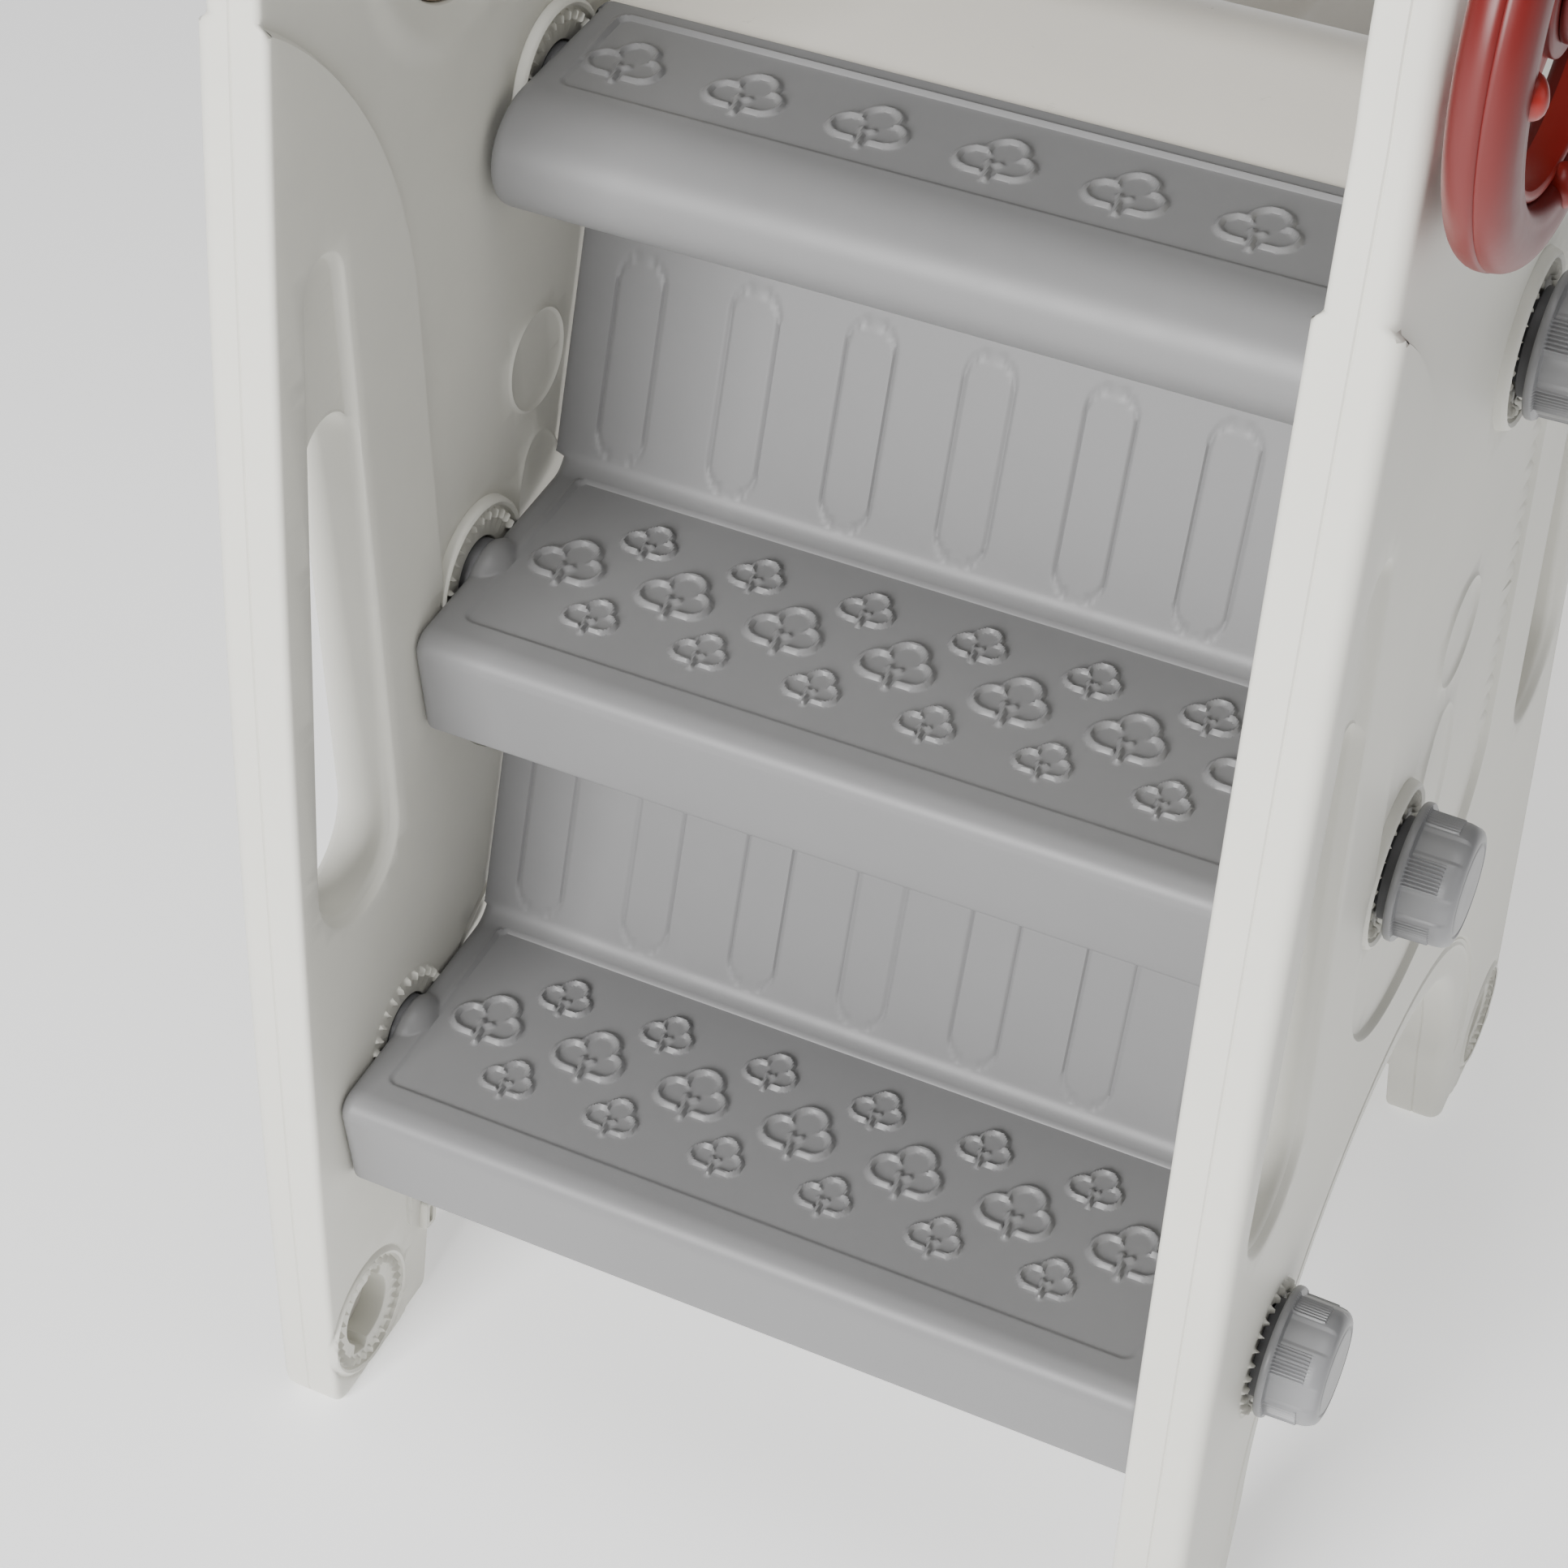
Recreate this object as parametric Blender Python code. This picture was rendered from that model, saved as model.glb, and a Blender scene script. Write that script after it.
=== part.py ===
"""Toddler slide: two hollow side panels, three moulded steps, screw knobs, a chute and a steering wheel.

Frame: X across the slide, Y from the ladder to the chute exit, Z up, metres.
The origin lies on the floor under the centre of the slide's box.
"""
import math

import bmesh
import bpy
from mathutils.geometry import tessellate_polygon

# Driving dimensions
LENGTH = 1.256                  # ladder foot to chute lip
CLEAR_WIDTH = 0.330             # between the side panels
PANEL_THICK = 0.027             # inner face to outer face of one panel
WALL = 0.0035                   # moulded wall
GAP = 0.0003                    # clearance between touching pieces
TREAD_HEIGHTS = (0.1630, 0.3336, 0.5096)
TREAD_LINES = (0.0429, 0.1237, 0.2126)    # front line of each tread, from the ladder foot
TREAD_DEPTH = 0.0960            # front line to riser foot, lower two steps
TOP_TREAD_DEPTH = 0.0560
APRON = 0.0460                  # depth of a step's front face
RISER_LEAN = 0.36               # run of a riser for each metre it rises
PANEL_HEIGHT = 0.783
PANEL_BASE = 0.4158             # front foot to rear foot
ARCH_HALF = 0.127
ARCH_RISE = 0.114
ARCH_SPRING = 0.054             # height where the arch's legs begin to flare
SHOULDER = 0.660                # height where the domed top begins
EDGE_HEIGHTS = (0.050, 0.220, 0.330, 0.440, 0.550, SHOULDER)
FOOT_REACH = 0.140              # panel's middle to a foot's inner corner
FOOT_CORNER = 0.030
DOME_POWER = 0.75               # 1 would make the top an ellipse
SLOT_LOW = (0.0594, 0.2640)     # centres and radii of the hand slot's two ends
SLOT_LOW_R = 0.0250
SLOT_HIGH = (0.0720, 0.4400)
SLOT_HIGH_R = 0.0150
NOSE_R = 0.006                  # lower steps; the top step has a bull nose
TOP_NOSE_R = 0.021
NOSE_REACH = 0.012              # nose ahead of the tread's front line, beyond its radius
APRON_BACK = 0.009
FILLET_R = 0.010
BOSS_LENGTH = 0.026
BOSS_BORE_DEPTH = 0.022
SLEEVE_R = 0.0145
SLEEVE_BORE = 0.0115
BOSS_R = 0.0168
SOCKET_R = 0.0150
KNOB_R = 0.0225
KNOB_FLANGE_R = 0.0248
KNOB_LENGTH = 0.0225
KNOB_GAP = 0.0040
FOOT_SOCKET = (0.0281, 0.0294)  # from the foot's front, above the floor
WHEEL_CENTRE = (0.1228, 0.691)
WHEEL_R = 0.0815
WHEEL_TUBE_R = 0.0100
PORT_CENTRE = (0.1815, 0.600)
PORT_R = 0.0400
CHUTE_ANGLE = math.radians(33.0)
CHUTE_RAIL = 0.050
CHUTE_RAIL_WIDTH = 0.022
CHUTE_BEND_R = 0.110            # from the deck into the slope
CHUTE_BEND_Y = 0.335
CHUTE_RUNOUT_R = 0.260
CHUTE_RUNOUT_Z = 0.058
LIP_R = 0.034
LIP_BACK = 0.0354               # lip's start before the end of the chute
SKIRT = 0.034                   # side wall below the bed
HEEL = 0.075                    # below this bed height the side walls stand on the floor
AXLE_HOLE_R = 0.0080
AXLE_HOLE_WALL = 0.0040
AXLE_R = 0.0042
AXLE_BORE_R = 0.0046
AXLE_HEAD_R = 0.0080
AXLE_HEAD = 0.0030
HUB_R = 0.0240
HUB_DEPTH = 0.0150
HUB_GAP = 0.0020                # hub's back face to the panel
SPOKES = 3
SPOKE_START = 0.0030            # back and front of a spoke, from the hub's back face
SPOKE_END = 0.0115
BAND_THICK = 0.0030
BAND_HALF = 0.0060              # half the width of the band
CAP_R = 0.0190

HALF = CLEAR_WIDTH / 2.0
OUTER = HALF + PANEL_THICK
FRONT = -LENGTH / 2.0
RIM_X = OUTER + 0.0045 + WHEEL_TUBE_R         # middle plane of the wheel's rim
DECK_START = TREAD_LINES[2] + TOP_TREAD_DEPTH + GAP
# Knob axes: distance from the ladder foot and height
KNOB_AXES = (
    (TREAD_LINES[0] + 0.0350, TREAD_HEIGHTS[0] - 0.0103),
    (TREAD_LINES[1] + 0.0350, TREAD_HEIGHTS[1] - 0.0103),
    (TREAD_LINES[2] + 0.0234, TREAD_HEIGHTS[2] - 0.0165),
    (PANEL_BASE - 0.0970, TREAD_HEIGHTS[2] - 0.0250),
)

COLOURS = {
    "panel_plastic": ((0.80, 0.79, 0.76), 0.45),
    "step_plastic": ((0.36, 0.36, 0.365), 0.45),
    "knob_plastic": ((0.42, 0.42, 0.44), 0.38),
    "sleeve_plastic": ((0.20, 0.205, 0.21), 0.45),
    "chute_plastic": ((0.86, 0.83, 0.77), 0.35),
    "wheel_plastic": ((0.45, 0.035, 0.025), 0.35),
    "cap_plastic": ((0.45, 0.33, 0.20), 0.45),
    "steel": ((0.60, 0.60, 0.62), 0.35),
}


def clear_scene():
    for thing in list(bpy.data.objects):
        bpy.data.objects.remove(thing, do_unlink=True)


def material(slot):
    """One Principled material per plastic, made once and shared."""
    found = bpy.data.materials.get(slot)
    if found:
        return found
    colour, rough = COLOURS[slot]
    made = bpy.data.materials.new(slot)
    made.use_nodes = True
    shader = made.node_tree.nodes["Principled BSDF"]
    shader.inputs["Base Color"].default_value = (*colour, 1.0)
    shader.inputs["Roughness"].default_value = rough
    shader.inputs["Metallic"].default_value = 1.0 if slot == "steel" else 0.0
    return made


def add_object(name, mesh, slot, location=(0.0, 0.0, 0.0)):
    body = bpy.data.objects.new(name, mesh)
    body.location = location
    if slot:
        mesh.materials.append(material(slot))
    bpy.context.collection.objects.link(body)
    return body


def mesh_from(name, points, faces):
    """A closed mesh from points and faces, with its normals turned out."""
    mesh = bpy.data.meshes.new(name)
    mesh.from_pydata(points, [], faces)
    work = bmesh.new()
    work.from_mesh(mesh)
    bmesh.ops.remove_doubles(work, verts=work.verts, dist=0.00001)
    bmesh.ops.recalc_face_normals(work, faces=work.faces)
    work.to_mesh(mesh)
    work.free()
    mesh.shade_smooth()
    mesh.set_sharp_from_angle(angle=math.radians(35.0))
    return mesh


def arc(centre, radius, start, end, count, stretch=1.0):
    """Points on an arc in the YZ plane; angles in degrees, stretch scales the height."""
    points = []
    for i in range(count):
        angle = math.radians(start + (end - start) * i / (count - 1))
        points.append((centre[0] + radius * math.cos(angle),
                       centre[1] + radius * stretch * math.sin(angle)))
    return points


def circle(centre, radius, count):
    return arc(centre, radius, 0.0, 360.0 * (count - 1) / count, count)


class Solid:
    """Collects the faces of a solid whose outlines all lie in planes of constant X."""

    def __init__(self):
        self.points = []
        self.faces = []

    def fill(self, loops, x):
        """A flat face at X bounded by the first loop, with the other loops as holes."""
        start = len(self.points)
        rings = [[(x, y, z) for y, z in loop] for loop in loops]
        for ring in rings:
            self.points.extend(ring)
        for triangle in tessellate_polygon(rings):
            self.faces.append([start + i for i in triangle])

    def wall(self, loop, x0, x1):
        """The side wall of one loop between two X planes."""
        start = len(self.points)
        count = len(loop)
        for x in (x0, x1):
            self.points.extend((x, y, z) for y, z in loop)
        for i in range(count):
            j = (i + 1) % count
            self.faces.append([start + i, start + j, start + count + j, start + count + i])

    def mesh(self, name):
        return mesh_from(name, self.points, self.faces)


def prism(name, outline, x0, x1, slot=None):
    solid = Solid()
    solid.fill([outline], x0)
    solid.fill([outline], x1)
    solid.wall(outline, x0, x1)
    return add_object(name, solid.mesh(name), slot)


def lathe(name, profile, centre, count, slot=None):
    """Turns a closed profile of (x, radius) pairs about an axis along X."""
    points = []
    faces = []
    rows = len(profile)
    for i in range(count):
        angle = 2.0 * math.pi * i / count
        for x, radius in profile:
            points.append((x, radius * math.cos(angle), radius * math.sin(angle)))
    for i in range(count):
        for j in range(rows):
            k = (i + 1) % count
            m = (j + 1) % rows
            corners = [i * rows + j, i * rows + m, k * rows + m, k * rows + j]
            on_axis = [profile[j][1] == 0.0, profile[m][1] == 0.0]
            if all(on_axis):
                continue
            if on_axis[0]:
                corners = corners[:3]
            elif on_axis[1]:
                corners = [corners[0], corners[1], corners[3]]
            faces.append(corners)
    mesh = mesh_from(name, points, faces)
    return add_object(name, mesh, slot, (0.0, FRONT + centre[0], centre[1]))


def join_or_cut(target, tool, operation):
    """Boolean with a hidden helper object."""
    tool.hide_render = True
    tool.display_type = "WIRE"
    change = target.modifiers.new(operation.lower(), "BOOLEAN")
    change.operation = operation
    change.solver = "EXACT"
    change.object = tool


def shift(loop):
    """Moves an outline from ladder-foot distances into the frame."""
    return [(FRONT + y, z) for y, z in loop]


def front_edge(z, inset=0.0):
    """Distance of the panel's front edge from the ladder foot, leaning back in a gentle curve."""
    return 0.045 * z + 0.0909 * z * z + inset


def panel_outline(inset):
    """The panel seen from the side: leaning edges, a domed top and an arch between two feet."""
    middle = PANEL_BASE / 2.0
    foot = FOOT_CORNER - inset
    front = [(front_edge(height, inset), height) for height in EDGE_HEIGHTS]
    corner = arc((FOOT_CORNER, FOOT_CORNER), foot, 270.0, 200.0, 5)
    half_top = middle - front_edge(SHOULDER)
    dome = []
    for i in range(1, 8):
        angle = math.pi / 2.0 * i / 7.0
        across = (half_top - inset) * math.cos(angle) ** DOME_POWER
        up = (PANEL_HEIGHT - SHOULDER - inset) * math.sin(angle) ** DOME_POWER
        dome.append((middle - across, SHOULDER + up))
    side = [(middle - FOOT_REACH - inset, inset)] + corner + front + dome
    mirrored = [(PANEL_BASE - y, z) for y, z in reversed(side[:-1])]
    arch_half = ARCH_HALF + inset
    arch = arc((middle, ARCH_SPRING), arch_half, 0.0, 180.0, 15, (ARCH_RISE + inset) / arch_half)
    return shift(side + mirrored + arch)


def slot_outline(offset, rear):
    """The tapered hand slot beside a panel's front or rear edge."""
    low = arc(SLOT_LOW, SLOT_LOW_R + offset, 180.0, 357.0, 9)
    high = arc(SLOT_HIGH, SLOT_HIGH_R + offset, 0.0, 175.0, 7)
    loop = low + high
    if rear:
        loop = [(PANEL_BASE - y, z) for y, z in reversed(loop)]
    return shift(loop)


def socket_centres():
    mirrored_foot = (PANEL_BASE - FOOT_SOCKET[0], FOOT_SOCKET[1])
    return [FOOT_SOCKET, mirrored_foot, *KNOB_AXES]


def panel_half(name, side, inner):
    """One half of a hollow panel: an open tray with tubes around every opening."""
    skin = HALF if inner else OUTER
    middle = HALF + PANEL_THICK / 2.0 + (-GAP / 2.0 if inner else GAP / 2.0)
    floor = skin + (WALL if inner else -WALL)
    outline = panel_outline(0.0)
    cavity = panel_outline(WALL)
    holes = []
    islands = []
    for rear in (False, True):
        holes.append(slot_outline(0.0, rear))
        islands.append(slot_outline(WALL, rear))
    for centre in socket_centres():
        holes.append(shift(circle(centre, SOCKET_R, 16)))
        islands.append(shift(circle(centre, SOCKET_R + WALL, 16)))
    if side < 0:
        holes.append(shift(circle(PORT_CENTRE, PORT_R, 24)))
        islands.append(shift(circle(PORT_CENTRE, PORT_R + WALL, 24)))
    else:
        holes.append(shift(circle(WHEEL_CENTRE, AXLE_HOLE_R, 16)))
        islands.append(shift(circle(WHEEL_CENTRE, AXLE_HOLE_R + AXLE_HOLE_WALL, 16)))
    solid = Solid()
    solid.fill([outline, *holes], side * skin)
    solid.fill([cavity, *islands], side * floor)
    solid.fill([outline, cavity], side * middle)
    solid.wall(outline, side * skin, side * middle)
    solid.wall(cavity, side * floor, side * middle)
    for hole, island in zip(holes, islands):
        solid.fill([island, hole], side * middle)
        solid.wall(hole, side * skin, side * middle)
        solid.wall(island, side * floor, side * middle)
    return add_object(name, solid.mesh(name), "panel_plastic")


def step_outline(line, top, depth, nose_radius, riser_top):
    """Side view of a step: nose, tread, fillet and a riser that leans back."""
    nose = arc((line, top - nose_radius), nose_radius, 180.0, 90.0, 5)
    nose = [(y - NOSE_REACH * (top - z) / nose_radius, z) for y, z in nose]
    loop = [(line - nose_radius - APRON_BACK, top - APRON), *nose]
    if riser_top:
        foot = line + depth
        lean = math.degrees(math.atan(RISER_LEAN))
        fillet = arc((foot - 0.75 * FILLET_R, top + FILLET_R), FILLET_R, 270.0, 360.0 - lean, 5)
        head = foot + RISER_LEAN * (riser_top - top)
        loop += fillet
        loop += [(head, riser_top), (head + WALL, riser_top), (foot + WALL, top - WALL)]
        loop += [(foot + WALL, top - APRON)]
    else:
        loop += [(line + depth, top), (line + depth, top - APRON)]
    return shift(loop)


def add_bosses(body, name, centre):
    """A boss at each end of a cross member, bored for its sleeve."""
    end = HALF - GAP
    for side in (-1, 1):
        start = side * (end - BOSS_LENGTH)
        boss = [(start, 0.0), (start, BOSS_R), (side * end, BOSS_R), (side * end, 0.0)]
        join_or_cut(body, lathe(f"{name}_boss_{side + 1}", boss, centre, 20), "UNION")
        start = side * (end - BOSS_BORE_DEPTH)
        past = side * (end + 0.010)
        bore = [(start, 0.0), (start, SLEEVE_R + GAP), (past, SLEEVE_R + GAP), (past, 0.0)]
        join_or_cut(body, lathe(f"{name}_bore_{side + 1}", bore, centre, 16), "DIFFERENCE")


def step(index):
    """Tread and riser in one hollow moulding, with an end boss around each sleeve."""
    name = f"step_{index + 1}"
    line = TREAD_LINES[index]
    top = TREAD_HEIGHTS[index]
    last = index == 2
    depth = TOP_TREAD_DEPTH if last else TREAD_DEPTH
    nose = TOP_NOSE_R if last else NOSE_R
    riser_top = None if last else TREAD_HEIGHTS[index + 1] - APRON - GAP
    end = HALF - GAP
    body = prism(name, step_outline(line, top, depth, nose, riser_top), -end, end, "step_plastic")
    hollow = shift([
        (line - nose * 0.5, top - APRON - 0.01),
        (line - nose * 0.5, top - WALL - nose * 0.45),
        (line + nose * 0.3, top - WALL),
        (line + depth - WALL, top - WALL),
        (line + depth - WALL, top - APRON - 0.01),
    ])
    join_or_cut(body, prism(f"{name}_hollow", hollow, WALL - end, end - WALL), "DIFFERENCE")
    add_bosses(body, name, KNOB_AXES[index])
    return body


def sleeve(name, side, centre):
    """Threaded tube from a step's end boss through the panel into the knob."""
    start = HALF - BOSS_BORE_DEPTH + 0.002
    end = OUTER + KNOB_GAP + KNOB_LENGTH - 0.006
    tube = [(start, SLEEVE_BORE), (start, SLEEVE_R), (end, SLEEVE_R), (end, SLEEVE_BORE)]
    tube = [(side * x, radius) for x, radius in tube]
    return lathe(name, tube, centre, 16, "sleeve_plastic")


def knob(name, side, centre):
    """Screw cap: a flange against the panel, a gripping body and a rounded end."""
    face = OUTER + KNOB_GAP
    end = face + KNOB_LENGTH
    bore = SLEEVE_R + GAP
    profile = [
        (face, bore), (face, KNOB_FLANGE_R), (face + 0.0030, KNOB_FLANGE_R),
        (face + 0.0032, KNOB_R), (end - 0.0045, KNOB_R - 0.0004), (end - 0.0012, KNOB_R - 0.0022),
        (end, KNOB_R - 0.0052), (end, 0.0), (end - 0.0050, 0.0), (end - 0.0050, bore),
    ]
    profile = [(side * x, radius) for x, radius in profile]
    return lathe(name, profile, centre, 20, "knob_plastic")


def chute_path():
    """Side profile of the bed: flat deck, bend, straight slope, run-out and lip.

    Each entry is (distance from ladder foot, height, direction in radians, rail height).
    """
    deck_z = TREAD_HEIGHTS[2] - 0.0015
    path = [(DECK_START, deck_z, 0.0, 0.0), (0.300, deck_z, 0.0, 0.0)]
    for i in range(6):
        angle = CHUTE_ANGLE * i / 5.0
        path.append((CHUTE_BEND_Y + CHUTE_BEND_R * math.sin(angle),
                     deck_z - CHUTE_BEND_R * (1.0 - math.cos(angle)), -angle, CHUTE_RAIL * (0.35 + 0.13 * i)))
    start_z = CHUTE_RUNOUT_Z + CHUTE_RUNOUT_R * (1.0 - math.cos(CHUTE_ANGLE))
    start_y = path[-1][0] + (path[-1][1] - start_z) / math.tan(CHUTE_ANGLE)
    for i in range(1, 4):
        share = i / 4.0
        path.append((path[7][0] + share * (start_y - path[7][0]),
                     path[7][1] + share * (start_z - path[7][1]), -CHUTE_ANGLE, CHUTE_RAIL))
    for i in range(6):
        angle = CHUTE_ANGLE * (1.0 - i / 5.0)
        path.append((start_y + CHUTE_RUNOUT_R * (math.sin(CHUTE_ANGLE) - math.sin(angle)),
                     CHUTE_RUNOUT_Z + CHUTE_RUNOUT_R * (1.0 - math.cos(angle)), -angle,
                     CHUTE_RAIL * (1.0 - 0.11 * i)))
    lip_y = LENGTH - LIP_BACK
    path.append((lip_y, CHUTE_RUNOUT_Z, 0.0, CHUTE_RAIL * 0.30))
    for i in range(1, 4):
        angle = math.radians(28.0 * i)
        path.append((lip_y + LIP_R * math.sin(angle) * 0.99, CHUTE_RUNOUT_Z - LIP_R * (1.0 - math.cos(angle)),
                     -angle, CHUTE_RAIL * 0.30 * (1.0 - i / 4.0)))
    return path


def chute_section(rail):
    """Half of the channel's cross-section: (x, height above the bed) for the upper and lower skins."""
    edge = HALF - GAP
    inner = edge - CHUTE_RAIL_WIDTH
    upper = [(0.0, 0.0), (inner - 0.012, 0.0), (inner - 0.002, rail * 0.25), (inner + 0.003, rail * 0.90),
             (inner + 0.008, rail), (edge - 0.004, rail), (edge, rail * 0.92)]
    lower = [(edge - WALL, rail * 0.85 - WALL), (inner + 0.011, rail - WALL - 0.001 * (rail > 0.0)),
             (inner + 0.0075, rail * 0.85 - WALL), (inner + 0.002, rail * 0.2 - WALL),
             (inner - 0.010, -WALL), (0.0, -WALL)]
    return upper, lower


def chute():
    """The bed with its side rails, a thin channel swept down the path, open below."""
    rings = []
    for y, z, angle, rail in chute_path():
        upper, lower = chute_section(rail)
        ring = []
        for x, height in upper:
            ring.append((x, FRONT + y - height * math.sin(angle), z + height * math.cos(angle)))
        edge = upper[-1][0]
        drop = z - 0.0004 if z < HEEL else SKIRT
        ring.append((edge, FRONT + y, z - drop))
        ring.append((edge - WALL, FRONT + y, z - drop))
        for x, height in lower:
            ring.append((x, FRONT + y - height * math.sin(angle), z + height * math.cos(angle)))
        rings.append(ring)
    points = []
    faces = []
    count = 2 * len(rings[0]) - 2
    for ring in rings:
        whole = ring + [(-x, y, z) for x, y, z in reversed(ring[1:-1])]
        points.extend(whole)
    for i in range(len(rings) - 1):
        for j in range(count):
            k = (j + 1) % count
            faces.append([i * count + j, i * count + k, (i + 1) * count + k, (i + 1) * count + j])
    last = len(rings[0]) - 1
    for base in (0, (len(rings) - 1) * count):
        for j in range(last // 2):
            corners = [j, j + 1, last - 1 - j, last - j]
            if corners[1] == corners[2]:
                corners.pop(1)
            faces.append([base + corner for corner in corners])
            mirrored = [last if corner == last else (count - corner) % count for corner in corners]
            faces.append([base + corner for corner in mirrored])
    body = add_object("slide_chute", mesh_from("slide_chute", points, faces), "chute_plastic")
    add_bosses(body, "chute", KNOB_AXES[3])
    return body


def wheel_rim():
    """Round hand rim, pressed over the spider's band."""
    rim = []
    for i in range(10):
        angle = 2.0 * math.pi * i / 10
        rim.append((RIM_X + WHEEL_TUBE_R * math.cos(angle),
                    WHEEL_R - WHEEL_TUBE_R + WHEEL_TUBE_R * math.sin(angle)))
    return lathe("wheel_rim", rim, WHEEL_CENTRE, 40, "wheel_plastic")


def wheel_spider():
    """Hub, three spokes and the band that carries the rim, turning on the axle."""
    band_outer = WHEEL_R - 2.0 * WHEEL_TUBE_R - GAP
    band_inner = band_outer - BAND_THICK
    band = [(RIM_X - BAND_HALF, band_inner), (RIM_X - BAND_HALF, band_outer),
            (RIM_X + BAND_HALF, band_outer), (RIM_X + BAND_HALF, band_inner)]
    spider = lathe("wheel_spider", band, WHEEL_CENTRE, 40, "wheel_plastic")
    hub_face = OUTER + HUB_GAP
    hub_end = hub_face + HUB_DEPTH
    hub = [(hub_face, 0.0), (hub_face, HUB_R - 0.0020), (hub_end, HUB_R), (hub_end, 0.0)]
    join_or_cut(spider, lathe("wheel_hub_disc", hub, WHEEL_CENTRE, 24), "UNION")
    for i in range(SPOKES):
        angle = math.pi / 2.0 + 2.0 * math.pi * i / SPOKES
        spoke = []
        for reach, half_width in ((0.010, 0.011), (band_outer - 0.0020, 0.014)):
            for sign in (-1, 1):
                along = reach * math.cos(angle) - sign * half_width * math.sin(angle)
                up = reach * math.sin(angle) + sign * half_width * math.cos(angle)
                spoke.append((WHEEL_CENTRE[0] + along, WHEEL_CENTRE[1] + up))
        outline = shift([spoke[0], spoke[1], spoke[3], spoke[2]])
        arm = prism(f"wheel_spoke_{i + 1}", outline, hub_face + SPOKE_START, hub_face + SPOKE_END)
        join_or_cut(spider, arm, "UNION")
    seat = hub_face + 0.0090
    bore = [(hub_face - 0.01, 0.0), (hub_face - 0.01, AXLE_BORE_R), (seat, AXLE_BORE_R),
            (seat, AXLE_HEAD_R + 0.0020), (hub_end + 0.01, AXLE_HEAD_R + 0.0020), (hub_end + 0.01, 0.0)]
    join_or_cut(spider, lathe("wheel_bore", bore, WHEEL_CENTRE, 16), "DIFFERENCE")
    return spider


def wheel_hardware():
    """Axle bolt, bush in the panel, nut on the inner face and the cap over the bolt's head."""
    hub_face = OUTER + HUB_GAP
    head = hub_face + 0.0093
    tail = HALF - 0.0090
    bolt = [(tail, 0.0), (tail, AXLE_R), (head, AXLE_R), (head, AXLE_HEAD_R),
            (head + AXLE_HEAD, AXLE_HEAD_R), (head + AXLE_HEAD, 0.0)]
    lathe("wheel_axle", bolt, WHEEL_CENTRE, 16, "steel")
    bore = AXLE_R + GAP
    body = AXLE_HOLE_R - GAP
    flange = body + 0.0033
    bush = [(HALF + 0.0010, bore), (HALF + 0.0010, body), (OUTER + GAP, body), (OUTER + GAP, flange),
            (OUTER + 0.0015, flange), (OUTER + 0.0015, bore)]
    lathe("wheel_bush", bush, WHEEL_CENTRE, 16, "knob_plastic")
    nut = [(HALF - 0.0070, bore), (HALF - 0.0070, 0.0110), (HALF - GAP, 0.0140), (HALF - GAP, bore)]
    lathe("axle_nut", nut, WHEEL_CENTRE, 24, "panel_plastic")
    cap_face = hub_face + HUB_DEPTH + GAP
    cap_end = OUTER + KNOB_GAP + KNOB_LENGTH
    cap = [(cap_face, 0.0), (cap_face, CAP_R), (cap_face + 0.0030, CAP_R - 0.0010),
           (cap_end - 0.0010, 0.0120), (cap_end, 0.0060), (cap_end, 0.0)]
    lathe("wheel_hub_cap", cap, WHEEL_CENTRE, 24, "wheel_plastic")


def port_cap():
    """Round insert that closes the port in the left panel."""
    low = HALF + 0.0040
    high = OUTER - 0.0010
    radius = PORT_R - GAP
    cup = [(-low, 0.0), (-low, radius), (-high, radius), (-high, radius - WALL),
           (-low - WALL, radius - WALL), (-low - WALL, 0.0)]
    lathe("port_cap_left", cup, PORT_CENTRE, 24, "cap_plastic")


def build():
    clear_scene()
    for side, word in ((-1, "left"), (1, "right")):
        panel_half(f"{word}_panel_inner", side, True)
        panel_half(f"{word}_panel_outer", side, False)
        for number, centre in enumerate(KNOB_AXES, start=1):
            place = "deck" if number == 4 else f"step_{number}"
            sleeve(f"{place}_sleeve_{word}", side, centre)
            knob(f"{place}_knob_{word}", side, centre)
    for index in range(3):
        step(index)
    chute()
    wheel_rim()
    wheel_spider()
    wheel_hardware()
    port_cap()


build()
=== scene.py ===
"""Toddler slide, ready to look at: side panels, steps, knobs, deck and chute, steering wheel."""
import math

import bmesh
import bpy
import numpy as np
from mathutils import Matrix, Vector
from mathutils.geometry import delaunay_2d_cdt


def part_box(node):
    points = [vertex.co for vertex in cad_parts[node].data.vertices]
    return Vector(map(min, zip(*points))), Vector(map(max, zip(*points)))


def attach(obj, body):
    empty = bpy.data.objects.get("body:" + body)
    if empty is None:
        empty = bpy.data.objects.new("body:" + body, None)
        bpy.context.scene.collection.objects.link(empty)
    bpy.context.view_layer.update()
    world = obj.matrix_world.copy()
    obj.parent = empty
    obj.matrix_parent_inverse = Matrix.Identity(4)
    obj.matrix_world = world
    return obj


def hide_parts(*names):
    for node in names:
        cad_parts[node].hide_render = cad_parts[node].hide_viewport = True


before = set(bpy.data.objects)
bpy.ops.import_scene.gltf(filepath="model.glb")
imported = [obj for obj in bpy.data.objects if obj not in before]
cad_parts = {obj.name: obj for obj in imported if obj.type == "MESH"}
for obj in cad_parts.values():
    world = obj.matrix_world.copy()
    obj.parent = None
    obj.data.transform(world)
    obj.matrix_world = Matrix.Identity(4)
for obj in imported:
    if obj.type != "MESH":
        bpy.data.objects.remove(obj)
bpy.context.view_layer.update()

# ---------------------------------------------------------------------------------------------
# Room: a pale floor that glows a little, a faint even sky and three soft lamps. The camera stands
# in front of the ladder, to the right and above it, and looks down on the treads.

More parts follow.
